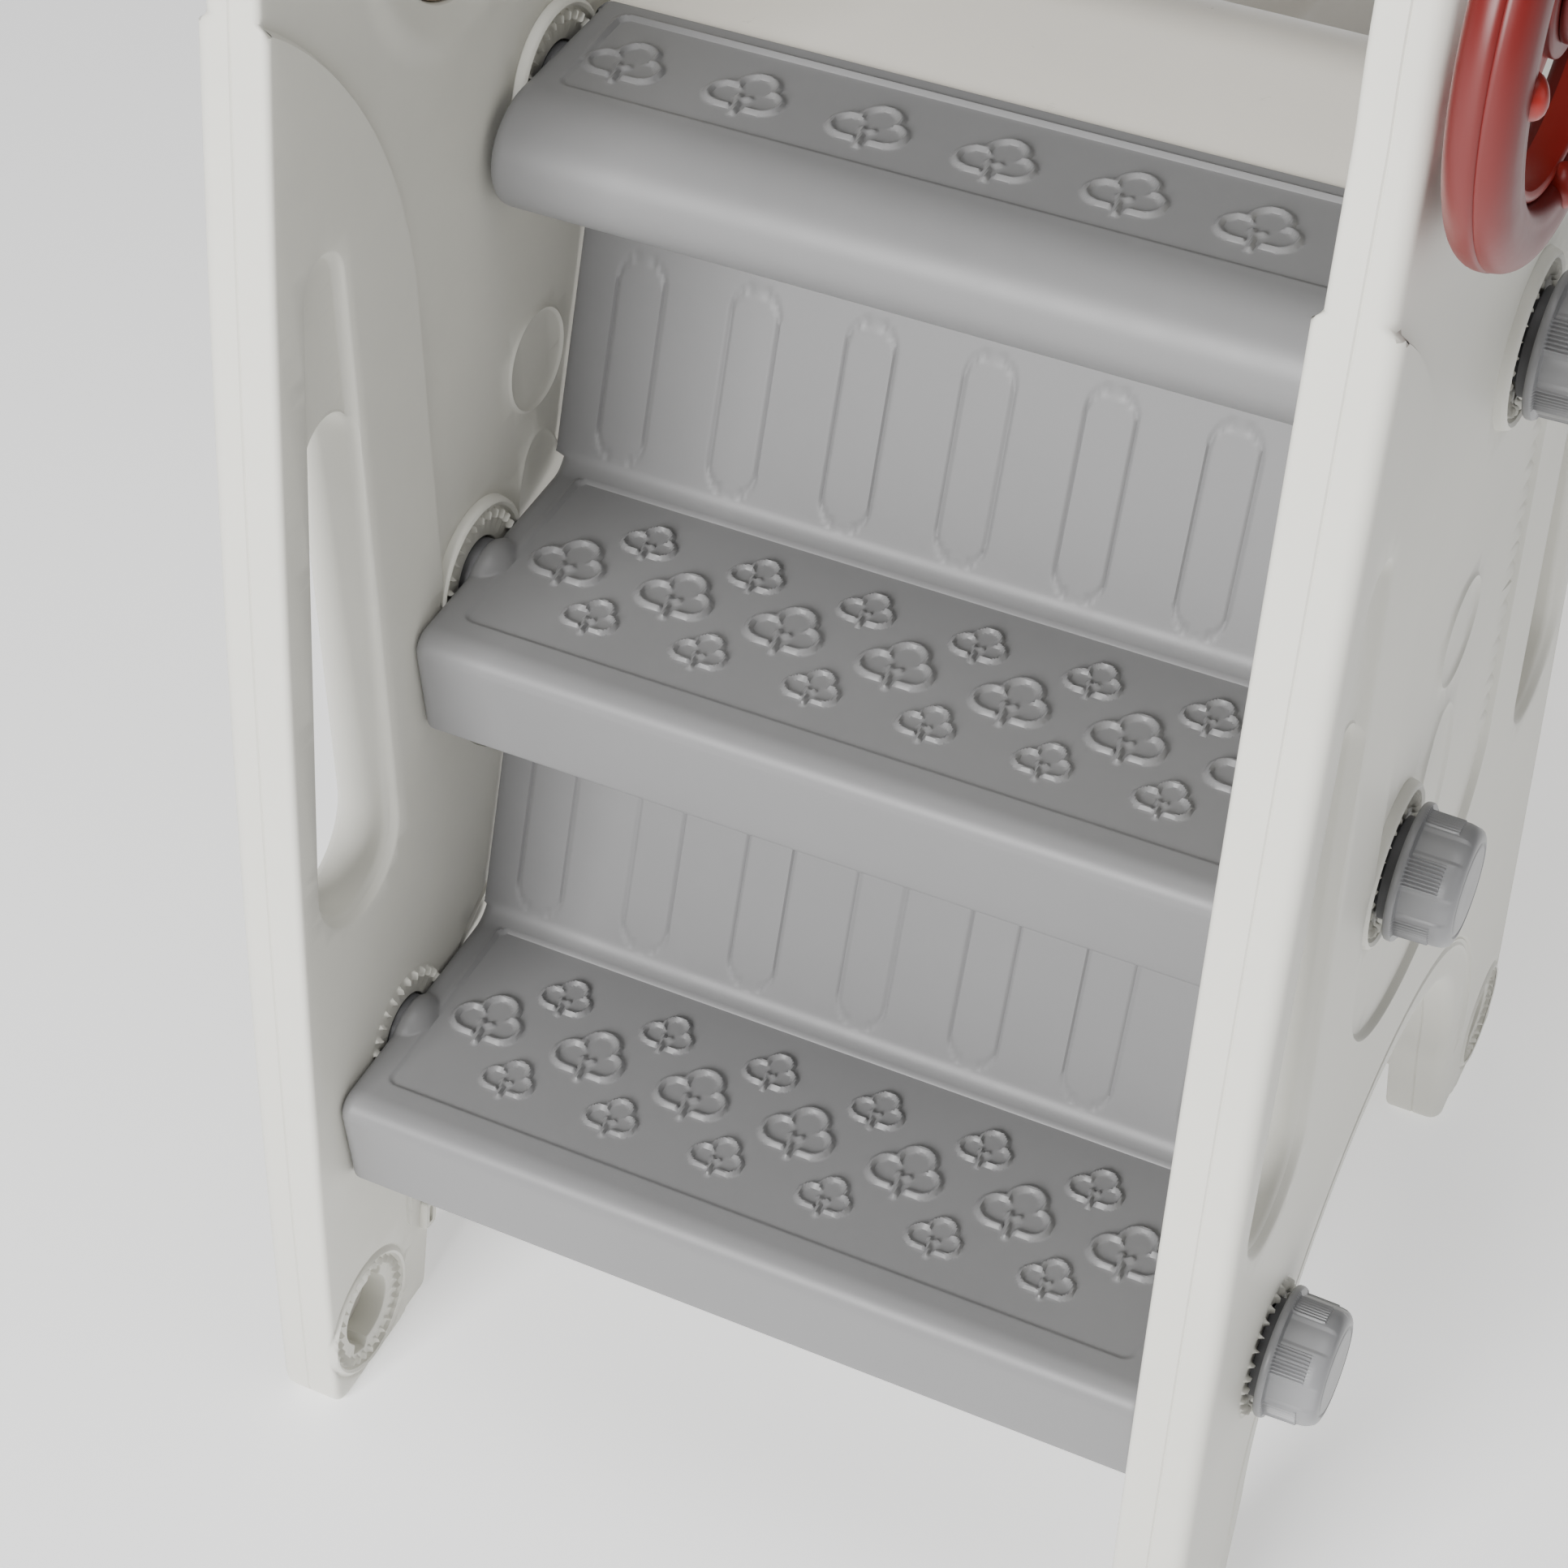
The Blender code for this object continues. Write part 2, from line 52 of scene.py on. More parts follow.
floor_mesh = bpy.data.meshes.new("floor")
floor_mesh.from_pydata([(-6, -6, 0), (6, -6, 0), (6, 6, 0), (-6, 6, 0)], [], [(0, 1, 2, 3)])
floor = bpy.data.objects.new("floor", floor_mesh)
bpy.context.scene.collection.objects.link(floor)
floor_look = bpy.data.materials.new("floor_white")
floor_look.use_nodes = True
floor_sockets = floor_look.node_tree.nodes["Principled BSDF"].inputs
floor_sockets["Base Color"].default_value = (0.93, 0.93, 0.93, 1)
floor_sockets["Roughness"].default_value = 0.7
floor_sockets["Emission Color"].default_value = (1.0, 1.0, 1.0, 1.0)
floor_sockets["Emission Strength"].default_value = 0.6
floor_mesh.materials.append(floor_look)

sky = bpy.data.worlds.new("studio")
sky.use_nodes = True
sky.node_tree.nodes["Background"].inputs["Color"].default_value = (1.0, 1.0, 1.0, 1.0)
sky.node_tree.nodes["Background"].inputs["Strength"].default_value = 0.09
bpy.context.scene.world = sky


def lamp(name, place, target, size, watts):
    """An area lamp at a place, turned towards a target point."""
    light = bpy.data.lights.new(name, "AREA")
    light.size = size
    light.energy = watts
    thing = bpy.data.objects.new(name, light)
    thing.location = place
    thing.rotation_euler = (Vector(target) - Vector(place)).to_track_quat("-Z", "Y").to_euler()
    bpy.context.scene.collection.objects.link(thing)


lamp("front_lamp", (-0.5, -3.2, 1.6), (0.0, -0.4, 0.4), 1.3, 150.0)
lamp("top_lamp", (0.3, -0.6, 3.2), (0.0, -0.3, 0.2), 1.6, 30.0)
lamp("side_lamp", (3.0, -0.6, 1.6), (0.0, -0.3, 0.4), 2.0, 13.0)

camera_data = bpy.data.cameras.new("camera")
camera_data.lens = 79.98
camera_data.sensor_width = 36.0
camera = bpy.data.objects.new("camera", camera_data)
camera.location = (0.3730, -1.3224, 1.1597)
camera.rotation_euler = (math.pi / 2.0 - 0.7545, 0.0, 0.4499)
bpy.context.scene.collection.objects.link(camera)
bpy.context.scene.camera = camera

# ---------------------------------------------------------------------------------------------
# Side panels: each is two hollow shells of off-white polyethylene that snap together at mid
# thickness. A sunk field in the middle leaves raised legs, which carry the hand slots, and every
# socket is a disc with locking teeth around a keyed hole.


class Value:
    """A shader socket whose sums and products become Math nodes."""

    def __init__(self, look, socket):
        self.look = look
        self.socket = socket

    def _math(self, operation, first, second):
        return self.look.node("ShaderNodeMath", {"operation": operation}, {0: first, 1: second})

    def __add__(self, other):
        return self._math("ADD", self, other)

    __radd__ = __add__

    def __sub__(self, other):
        return self._math("SUBTRACT", self, other)

    def __rsub__(self, other):
        return self._math("SUBTRACT", other, self)

    def __mul__(self, other):
        return self._math("MULTIPLY", self, other)

    __rmul__ = __mul__


class Look:
    """One material with a Principled shader, and the one method that adds its other nodes."""

    def __init__(self, name):
        self.material = bpy.data.materials.new(name)
        self.material.use_nodes = True
        self.tree = self.material.node_tree
        self.shader = self.tree.nodes["Principled BSDF"]

    def node(self, kind, settings, inputs, output=0):
        """Adds a node of a type: its settings first, then the values or links of its sockets."""
        made = self.tree.nodes.new(kind)
        for key, value in settings.items():
            if key == "stops":
                made.color_ramp.elements[0].position = value[0]
                made.color_ramp.elements[1].position = value[1]
            else:
                setattr(made, key, value)
        for key, value in inputs.items():
            self.feed(made.inputs[key], value)
        return Value(self, made.outputs[output])

    def feed(self, socket, value):
        """Links a Value to a socket, or sets the socket to a constant."""
        if isinstance(value, Value):
            self.tree.links.new(value.socket, socket)
        else:
            socket.default_value = value


def moulded(name, colour, rough, grain=0.00006, tone=0.035):
    """Moulded plastic: fine spark-eroded grain, faint flow marks in the colour, uneven polish."""
    look = Look(name)
    place = look.node("ShaderNodeTexCoord", {}, {}, 3)
    fine = look.node("ShaderNodeTexNoise", {}, {"Vector": place, "Scale": 1400.0, "Detail": 2.0})
    pits = look.node("ShaderNodeTexVoronoi", {}, {"Vector": place, "Scale": 900.0})
    flow = look.node("ShaderNodeTexNoise", {}, {"Vector": place, "Scale": 7.0, "Detail": 3.0})
    scuff = look.node("ShaderNodeTexNoise", {},
                      {"Vector": place, "Scale": 60.0, "Detail": 5.0, "Roughness": 0.7})
    spread = flow * 0.6 + scuff * 0.4
    ramp = look.node("ShaderNodeValToRGB", {"stops": (0.35, 0.65)}, {"Fac": spread})
    low = tuple(max(channel * (1.0 - tone), 0.0) for channel in colour)
    high = tuple(min(channel * (1.0 + tone * 0.5), 1.0) for channel in colour)
    tint = look.node("ShaderNodeMix", {"data_type": "RGBA"}, {0: ramp, 6: (*low, 1.0), 7: (*high, 1.0)}, 2)
    look.feed(look.shader.inputs["Base Color"], tint)
    look.feed(look.shader.inputs["Roughness"], (scuff - 0.5) * 0.14 + rough)
    height = fine * 0.6 + pits * 0.4
    bump = look.node("ShaderNodeBump", {}, {"Strength": 0.35, "Distance": grain, "Height": height})
    look.feed(look.shader.inputs["Normal"], bump)
    return look.material


def add_piece(name, points, faces, look, crease=38.0):
    """Makes a mesh from (N, 3) points and quads or triangles, welds its seams and shades it smooth."""
    mesh = bpy.data.meshes.new(name)
    mesh.from_pydata(np.asarray(points).tolist(), [], [list(map(int, face)) for face in faces])
    work = bmesh.new()
    work.from_mesh(mesh)
    bmesh.ops.remove_doubles(work, verts=work.verts, dist=0.000008)
    bmesh.ops.dissolve_degenerate(work, edges=work.edges, dist=0.000002)
    work.to_mesh(mesh)
    work.free()
    mesh.materials.append(look)
    mesh.shade_smooth()
    mesh.set_sharp_from_angle(angle=math.radians(crease))
    thing = bpy.data.objects.new(name, mesh)
    bpy.context.scene.collection.objects.link(thing)
    return thing


def point_outwards(piece):
    """Makes all faces of a finished piece point outwards."""
    work = bmesh.new()
    work.from_mesh(piece.data)
    bmesh.ops.recalc_face_normals(work, faces=work.faces)
    work.to_mesh(piece.data)
    work.free()
    return piece


def grid_faces(rows, columns, closed=False):
    """Quads of a rows by columns grid of points; closed joins the last column to the first."""
    index = np.arange(rows * columns).reshape(rows, columns)
    right = np.roll(index, -1, axis=1) if closed else index[:, 1:]
    left = index if closed else index[:, :-1]
    quads = np.stack([left[:-1], right[:-1], right[1:], left[1:]], axis=-1)
    return quads.reshape(-1, 4)


def smooth_step(low, high, value):
    """3 t^2 - 2 t^3, where t runs from 0 at low to 1 at high and stays within 0 and 1."""
    share = np.clip((value - low) / (high - low), 0.0, 1.0)
    return share * share * (3.0 - 2.0 * share)


def sweep(first, last, count):
    """Even steps between two angles in degrees, as radians."""
    return np.radians(np.linspace(first, last, count))


def unit(turn):
    """Points (cos t, sin t) on the unit circle."""
    return np.stack([np.cos(turn), np.sin(turn)], axis=1)


def ridge(distance, half_width):
    """A round-topped line: 1 on the line, falling to 0 at its half width."""
    return smooth_step(half_width, 0.0, np.abs(distance))


def cord(distance, half_width):
    """A fuller line, with a half-round section and a small fillet at its foot."""
    full = np.sqrt(np.clip(1.0 - (distance / half_width) ** 2, 0.0, 1.0))
    return np.maximum(full, 0.35 * smooth_step(1.6 * half_width, 0.4 * half_width, np.abs(distance)))


class Shape:
    """A solid built up from several grids and fans, which are welded at the end."""

    def __init__(self):
        self.points = []
        self.faces = []
        self.count = 0

    def add(self, points, faces):
        """Takes points and the faces between them, numbered from 0."""
        self.points.append(np.asarray(points, float).reshape(-1, 3))
        self.faces.extend((np.asarray(faces) + self.count).tolist())
        self.count += len(self.points[-1])

    def grid(self, array, closed=False):
        """Takes a grid of points, one row after another."""
        rows, columns = array.shape[:2]
        self.add(array.reshape(-1, 3), grid_faces(rows, columns, closed))

    def piece(self, name, look, **more):
        """Makes the object."""
        return add_piece(name, np.concatenate(self.points), self.faces, look, **more)


panel_low, panel_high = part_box("right_panel_inner")
outer_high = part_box("right_panel_outer")[1]
foot_front = panel_low.y
panel_base = 0.4158
panel_top = panel_high.z
inner_face = panel_low.x
outer_face = outer_high.x
half_thick = (outer_face - inner_face) / 2.0
panel_middle = panel_base / 2.0

shoulder_height = 0.660
arch_half = 0.122
arch_rise = 0.114
arch_spring = 0.054
foot_inner = 0.135          # middle of the panel to the inner corner of a foot
foot_corner = 0.007
sunk = 0.0030               # depth of the middle field
band = 0.0215               # width of the snapped band along the arch
socket_disc = 0.0300
tooth_count = 28
tooth_ring = 0.0275
foot_scale = {True: 0.92, False: 0.80}      # size of the foot sockets on inner and outer halves
slot_dish_depth = 0.0038
socket_places = np.array([
    (0.0300, 0.0300), (panel_base - 0.0300, 0.0300),
    (0.0779, 0.1527), (0.1587, 0.3233), (0.2360, 0.4931), (0.3188, 0.4846)])


def front_line(height):
    """Distance of the panel's front edge from the foot's front: it leans back in a parabola."""
    return 0.045 * height + 0.0909 * height ** 2


def even_loop(points, spacing, rounding=0.0):
    """Resamples a closed outline evenly along its length, with a moving average that rounds corners."""
    closed = np.vstack([points, points[:1]])
    along = np.concatenate([[0.0], np.cumsum(np.linalg.norm(np.diff(closed, axis=0), axis=1))])
    count = max(int(round(along[-1] / spacing)), 12)
    want = np.linspace(0.0, along[-1], count, endpoint=False)
    loop = np.stack([np.interp(want, along, closed[:, i]) for i in (0, 1)], axis=1)
    reach = int(round(rounding / spacing))
    if reach:
        loop = np.mean([np.roll(loop, i, axis=0) for i in range(-reach, reach + 1)], axis=0)
    return loop


def normals(run):
    """Unit vectors at right angles to each step of a line, on its right."""
    run = run / np.linalg.norm(run, axis=1, keepdims=True)
    return np.stack([run[:, 1], -run[:, 0]], axis=1)


def outset(loop, distance):
    """Moves an anticlockwise outline outwards along its normals."""
    return loop + distance * normals(np.roll(loop, -1, axis=0) - np.roll(loop, 1, axis=0))


def panel_outline():
    """Half of the side view from the formulae of edge, dome and arch, mirrored to the other half."""
    turn = sweep(270.0, 200.0, 12)
    corner = foot_corner + foot_corner * unit(turn)
    rise = np.linspace(1.2 * foot_corner, shoulder_height, 70)
    edge = np.stack([front_line(rise), rise], axis=1)
    turn = sweep(2.0, 90.0, 60)
    half_top = panel_middle - front_line(shoulder_height)
    dome = np.stack([panel_middle - half_top * np.cos(turn) ** 0.75,
                     shoulder_height + (panel_top - shoulder_height) * np.sin(turn) ** 0.75], axis=1)
    side = np.vstack([[(panel_middle - foot_inner, 0.0)], corner, edge, dome])
    other = side[::-1][1:] * (-1.0, 1.0) + (panel_base, 0.0)
    turn = sweep(0.0, 180.0, 60)
    arch = (panel_middle, arch_spring) + (arch_half, arch_rise) * unit(turn)
    return np.vstack([side, other, arch])[::-1]


def capsule(point, low, low_radius, high, high_radius):
    """Signed distance to a tapered capsule between two circles, taken along its axis."""
    axis = np.subtract(high, low)
    share = np.clip(((point - low) @ axis) / (axis @ axis), 0.0, 1.0)
    nearest = low + share[:, None] * axis
    return np.linalg.norm(point - nearest, axis=1) - (low_radius + share * (high_radius - low_radius))


def capsule_loop(low, low_radius, high, high_radius, grow, spacing=0.003):
    """Outline of the same capsule, grown by a distance, anticlockwise."""
    turn = sweep(180.0, 360.0, 24)
    under = low + (low_radius + grow) * unit(turn)
    over = high - (high_radius + grow) * unit(turn)
    return even_loop(np.vstack([under, over]), spacing)


slot_hole = ((0.0594, 0.2640), 0.0245, (0.0722, 0.4390), 0.0145)
slot_dish = ((0.0594, 0.2640), 0.0284, (0.0765, 0.5050), 0.0125)


def folded(point):
    """A point behind the panel's middle becomes its mirror image, as both halves are alike."""
    return np.stack([panel_middle - np.abs(point[:, 0] - panel_middle), point[:, 1]], axis=1)


def field_edge(point):
    """Signed distance to the sunk field: a round bottom, upright sides and a circular flare above."""
    across = panel_middle - folded(point)[:, 0]
    height = point[:, 1]
    round_part = (np.hypot(across / 0.0767, (height - 0.285) / 0.0615) - 1.0) * 0.066
    rise = np.clip(height - 0.4666, 0.0, 0.1700)
    flare = panel_middle + 0.045 - np.sqrt(0.177 ** 2 - rise ** 2)
    flared_part = (across - flare) * np.sqrt(1.0 - (rise / 0.177) ** 2)
    inside = np.where(height < 0.285, round_part, flared_part)
    return np.where(height > 0.6366, -0.05, inside)


def field_curve():
    """The edge of the sunk field, from one side of the panel round to the other."""
    rise = np.linspace(0.1440, 0.0, 50)
    flare = np.stack([panel_middle + 0.045 - np.sqrt(0.177 ** 2 - rise ** 2), 0.4666 + rise], axis=1)
    upright = np.stack([np.full(50, 0.0767), np.linspace(0.4620, 0.2880, 50)], axis=1)
    turn = sweep(0.0, 90.0, 30)
    bottom = (0.0, 0.285) + (0.0767, -0.0615) * unit(turn)
    half = np.vstack([flare, upright, bottom])
    front = half * (-1.0, 1.0) + (panel_middle, 0.0)
    rear = half[::-1][1:] + (panel_middle, 0.0)
    return np.vstack([front, rear])


ring_marks = [((panel_middle + 0.0035, 0.3875), 0.0200, 0.0200), ((panel_middle, 0.3180), 0.0180, 0.0375)]


def oval(point, mark):
    """Rough signed distance to an upright oval mark."""
    centre, wide, tall = mark
    reach = np.hypot((point[:, 0] - centre[0]) / wide, (point[:, 1] - centre[1]) / tall)
    return (reach - 1.0) * min(wide, tall)


def arch_distance(point):
    """Distance above the arch, measured on ellipses round its springing line."""
    across = point[:, 0] - panel_middle
    height = point[:, 1] - arch_spring
    ellipse = (np.hypot(across / arch_half, height / arch_rise) - 1.0) * arch_half
    legs = np.abs(across) - arch_half - np.clip(-height, 0.0, 1.0) * 0.24
    return np.where(height > 0.0, ellipse, legs)


def panel_relief(point, inner):
    """How far the moulded face lies below the panel's outermost plane at each point."""
    depth = sunk * smooth_step(0.0009, -0.0009, field_edge(point))
    for number, place in enumerate(socket_places):
        if number == 2:            # this one lies flush with the raised plane
            continue
        size = foot_scale[inner] if number < 2 else 1.0
        radius = np.linalg.norm(point - place, axis=1) - socket_disc * size
        depth *= smooth_step(0.0, 0.0012, radius)
        depth -= 0.0008 * ridge(radius + 0.0012, 0.0014)
        depth += 0.0009 * ridge(radius - 0.0009, 0.0012)
    for mark in ring_marks:
        depth -= 0.0011 * ridge(oval(point, mark), 0.0016)
    dish = capsule(folded(point), *slot_dish)
    depth += slot_dish_depth * smooth_step(0.0006, -0.0034, dish)
    seam = arch_distance(point) - band
    outside_sockets = np.ones(len(point), bool)
    for place in socket_places[:2]:
        outside_sockets &= np.linalg.norm(point - place, axis=1) > socket_disc * foot_scale[inner] + 0.0004
    lowered = 0.0010 * smooth_step(0.0, -0.0016, seam) + 0.0010 * ridge(seam - 0.0003, 0.0010)
    lowered -= 0.0009 * ridge(seam + 0.0030, 0.0012)
    depth += np.where(outside_sockets, lowered, 0.0)
    port = np.linalg.norm(point - port_place, axis=1)
    if inner:
        depth -= 0.0012 * ridge(port - port_radius - 0.0120, 0.0110)
    return depth


port_place = np.array((0.1815, 0.600))
port_radius = 0.0415
wheel_place = np.array((0.1228, 0.691))


def inside_loop(point, loop):
    """Even-odd test of many points against one closed outline."""
    nxt = np.roll(loop, -1, axis=0)
    hits = np.zeros(len(point), bool)
    for start, end in zip(loop, nxt):
        crosses = (start[1] > point[:, 1]) != (end[1] > point[:, 1])
        if end[1] != start[1]:
            where = start[0] + (point[:, 1] - start[1]) * (end[0] - start[0]) / (end[1] - start[1])
            hits ^= crosses & (point[:, 0] < where)
    return hits


def circle_loop(centre, radius, count):
    """Points at even steps round a circle."""
    turn = np.linspace(0.0, 2.0 * math.pi, count, endpoint=False)
    return centre + radius * unit(turn)


def panel_face(border, holes, inner):
    """Triangles between the face's border and its holes, with rows of points along every step."""
    loops = [border] + holes
    lines = []
    field = field_curve()
    for shift in (-0.0009, -0.00045, 0.0, 0.00045, 0.0009):
        lines.append(field + shift * normals(np.gradient(field, axis=0)))
    for number, place in enumerate(socket_places):
        size = foot_scale[inner] if number < 2 else 1.0
        for shift in (-0.0019, -0.0012, -0.0005, 0.0, 0.0004, 0.0009, 0.0015, 0.0022):
            loops.append(circle_loop(place, socket_disc * size + shift, 112))
    for mark in ring_marks:
        for shift in (-0.0016, -0.0008, 0.0, 0.0008, 0.0016):
            share = circle_loop((0.0, 0.0), 1.0, 90)
            loops.append(np.array(mark[0]) + share * (mark[1] + shift, mark[2] + shift))
    for rear in (False, True):
        for grow in (-0.0034, -0.0026, -0.0017, -0.0009, -0.0002, 0.0006):
            dish = capsule_loop(*slot_dish, grow)
            keep = capsule(dish, *slot_hole) > 0.0019
            dish = dish if not rear else dish * (-1.0, 1.0) + (panel_base, 0.0)
            lines.append(np.where(keep[:, None], dish, np.nan))
    turn = sweep(-2.0, 182.0, 130)
    for shift in (-0.0042, -0.0036, -0.0030, -0.0024, -0.0018, -0.0010, -0.0004, 0.0003, 0.0008, 0.0013):
        reach = band + shift
        growth = 1.0 + reach / arch_half
        lines.append((panel_middle, arch_spring) + growth * unit(turn) * (arch_half, arch_rise))
    if inner:
        for radius in np.linspace(port_radius + 0.001, port_radius + 0.023, 12):
            loops.append(circle_loop(port_place, radius, 96))
    points = []
    edges = []
    for loop in loops:
        start = len(points)
        points.extend(loop.tolist())
        edges.extend((start + i, start + (i + 1) % len(loop)) for i in range(len(loop)))
    for line in lines:
        good = ~np.isnan(line[:, 0])
        start = len(points)
        index = np.cumsum(good) - 1
        points.extend(line[good].tolist())
        for i in range(len(line) - 1):
            if good[i] and good[i + 1]:
                edges.append((start + int(index[i]), start + int(index[i + 1])))
    columns, rows = np.meshgrid(np.arange(0.004, panel_base, 0.009), np.arange(0.006, panel_top, 0.009))
    points.extend(np.stack([columns, rows], axis=-1).reshape(-1, 2).tolist())
    made = delaunay_2d_cdt([Vector(point) for point in points], edges, [], 0, 1e-6)
    flat = np.array([tuple(point) for point in made[0]])
    faces = np.array(made[2])
    centres = flat[faces].mean(axis=1)
    keep = inside_loop(centres, border)
    for loop in holes:
        keep &= ~inside_loop(centres, loop)
    return flat, faces[keep]


def keyed_radius(turn, key_turn):
    """The socket's hole: round, with two opposite key notches unless a sleeve fills it."""
    if key_turn is None:
        return np.full_like(turn, 0.0150)
    notch = np.abs(np.cos(turn - key_turn)) ** 24
    return 0.0163 + 0.0046 * smooth_step(0.25, 0.55, notch)


def socket(shape, place, centre, key_turn, size, floor_depth):
    """Toothed disc round a keyed hole: rows of points from the hole's wall out to the tooth ring.

    A tooth is a ridge in the turn, and rises and falls again along the radius.
    """
    turn = np.linspace(0.0, 2.0 * math.pi, tooth_count * 8, endpoint=False)
    hole = keyed_radius(turn, key_turn)
    tooth = ridge(np.mod(turn / (2.0 * math.pi) * tooth_count, 1.0) - 0.5, 0.19)
    flat = np.ones_like(turn)
    rows = [(hole, flat * half_thick), (hole, flat * (floor_depth + 0.0010)),
            (hole + 0.0003, flat * (floor_depth + 0.0003)), (hole + 0.0009, flat * floor_depth)]
    for radius, tall in ((0.0219, 0.0), (0.0224, 0.75), (0.0229, 1.0), (0.0254, 1.0), (0.0259, 0.7),
                         (0.0263, 0.0)):
        rows.append((flat * radius, floor_depth - 0.0022 * tall * tooth))
    for radius, share in ((0.0267, 1.0), (0.0271, 0.6), (tooth_ring, 0.0)):
        rows.append((flat * radius, flat * share * floor_depth))
    around = size * unit(turn)
    shape.grid(np.stack([place(centre + radius[:, None] * around, depth) for radius, depth in rows]),
               closed=True)


def panel_shell(name, side, inner, look):
    """One half of a side panel: moulded face, rounded rim, hole walls and toothed sockets."""
    face_x = inner_face if inner else outer_face
    inward = 1.0 if inner else -1.0
    roll = 0.0028 if inner else 0.0060

    def place(loop, depth):
        """Points of a side view, at a depth below the moulded face."""
        x = side * (face_x + inward * np.broadcast_to(depth, len(loop)))
        return np.stack([x, foot_front + loop[:, 0], loop[:, 1]], axis=1)

    shape = Shape()
    outline = even_loop(panel_outline(), 0.002, 0.004)
    rim = []
    for turn in sweep(0.0, 90.0, 6):
        loop = outset(outline, -roll * (1.0 - math.cos(turn)))
        depth = panel_relief(loop, inner) + roll * (1.0 - math.sin(turn))
        rim.append(place(loop, depth))
    seam = place(outset(outline, -0.0005), half_thick)
    shape.grid(np.stack([seam, place(outline, half_thick - 0.0006)] + rim), closed=True)
    border = outset(outline, -roll)
    holes = []
    for rear in (False, True):
        base = capsule_loop(*slot_hole, 0.0, 0.003)
        rows = []
        for grow, depth in ((0.0, half_thick), (0.0, 0.0056), (0.0003, 0.0043), (0.0010, 0.0034),
                            (0.0018, None)):
            loop = outset(base, grow)
            if rear:
                loop = loop * (-1.0, 1.0) + (panel_base, 0.0)
            rows.append(place(loop, panel_relief(loop, inner) if depth is None else depth))
        shape.grid(np.stack(rows), closed=True)
        holes.append(loop)
    for number, centre in enumerate(socket_places):
        key_turn = math.radians(62.0) if number < 2 else (None if inner else math.radians(80.0))
        size = foot_scale[inner] if number < 2 else 1.0
        socket(shape, place, centre, key_turn, size, 0.0002 if number == 2 else 0.0016)
        holes.append(circle_loop(centre, size * tooth_ring, tooth_count * 8))
        if number < 2:
            web = circle_loop(centre, 0.0170, 48)
            spokes = np.arange(48)
            shape.add(place(np.vstack([web, centre]), half_thick - 0.001),
                      np.stack([spokes, (spokes + 1) % 48, np.full(48, 48)], axis=1))
    centre, radius = (port_place, port_radius) if side < 0 else (wheel_place, 0.0080)
    rows = []
    for grow, depth in ((0.0, half_thick), (0.0, 0.0045), (0.0006, 0.0032), (0.0015, None)):
        loop = circle_loop(centre, radius + grow, 96)
        rows.append(place(loop, panel_relief(loop, inner) if depth is None else depth))
    shape.grid(np.stack(rows), closed=True)
    holes.append(loop)
    lugs = () if not inner else (((0.0775, 0.0420), 1.40), ((panel_base - 0.0775, 0.0420), math.pi - 1.40),
                        ((panel_middle - 0.0870, 0.1475), 0.80), ((panel_middle + 0.0870, 0.1475), -0.80))
    for spot, turn in lugs:
        lug(shape, place, np.array(spot), turn, (0.0072, 0.0042, 0.0022))
    flat, faces = panel_face(border, holes, inner)
    shape.add(place(flat, panel_relief(flat, inner)), faces)
    return point_outwards(shape.piece(name, look))


def lug(shape, place, centre, turn, size):
    """A snap lug: a block on a superellipse, on the arch's edge, with a narrow slot in its face."""
    long, wide, rise = size
    loop = circle_loop((0.0, 0.0), 1.0, 48)
    block = np.sign(loop) * np.abs(loop) ** 0.30
    along = np.array((math.cos(turn), math.sin(turn)))
    across = np.array((-math.sin(turn), math.cos(turn)))
    rows = []
    for share, depth in ((1.08, 0.0040), (1.0, 0.0), (0.97, -0.8 * rise), (0.90, -rise)):
        flat = centre + share * (long * block[:, :1] * along + wide * block[:, 1:] * across)
        rows.append(place(flat, depth))
    for share, depth in ((0.62, -rise), (0.58, -0.7 * rise), (0.58, 0.0030), (0.0, 0.0030)):
        flat = centre + share * (long * block[:, :1] * along + 0.55 * wide * block[:, 1:] * across)
        rows.append(place(flat, depth))
    shape.grid(np.stack(rows), closed=True)


white_plastic = moulded("white_plastic", (0.74, 0.73, 0.665), 0.46)
for side, word in ((-1, "left"), (1, "right")):
    for inner, half in ((True, "inner"), (False, "outer")):
        shell = panel_shell(f"{word}_{half}_shell", side, inner, white_plastic)
        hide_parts(f"{word}_panel_{half}")
        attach(shell, "frame")

# ---------------------------------------------------------------------------------------------
# Steps: grey blow-moulded polyethylene. The two lower ones carry a riser with sunk grooves, and all
# treads have raised cloud marks for grip inside a moulded border. Sleeves at both ends hold them.

step_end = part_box("step_1")[1].x
step_lines = (0.0429, 0.1237, 0.2126)
step_tops = (0.1630, 0.3336, 0.5096)
apron = 0.0460
lean = 0.36
lower_depth = 0.0960
top_depth = 0.0560


def segment(across, along, start, end):
    """Distance to a line segment."""
    run = np.subtract(end, start)
    share = ((across - start[0]) * run[0] + (along - start[1]) * run[1]) / (run @ run)
    share = np.clip(share, 0.0, 1.0)
    return np.hypot(across - start[0] - share * run[0], along - start[1] - share * run[1])


lobes = (((-0.40, -0.08), 0.42), ((0.12, 0.40), 0.44), ((0.50, -0.09), 0.38))


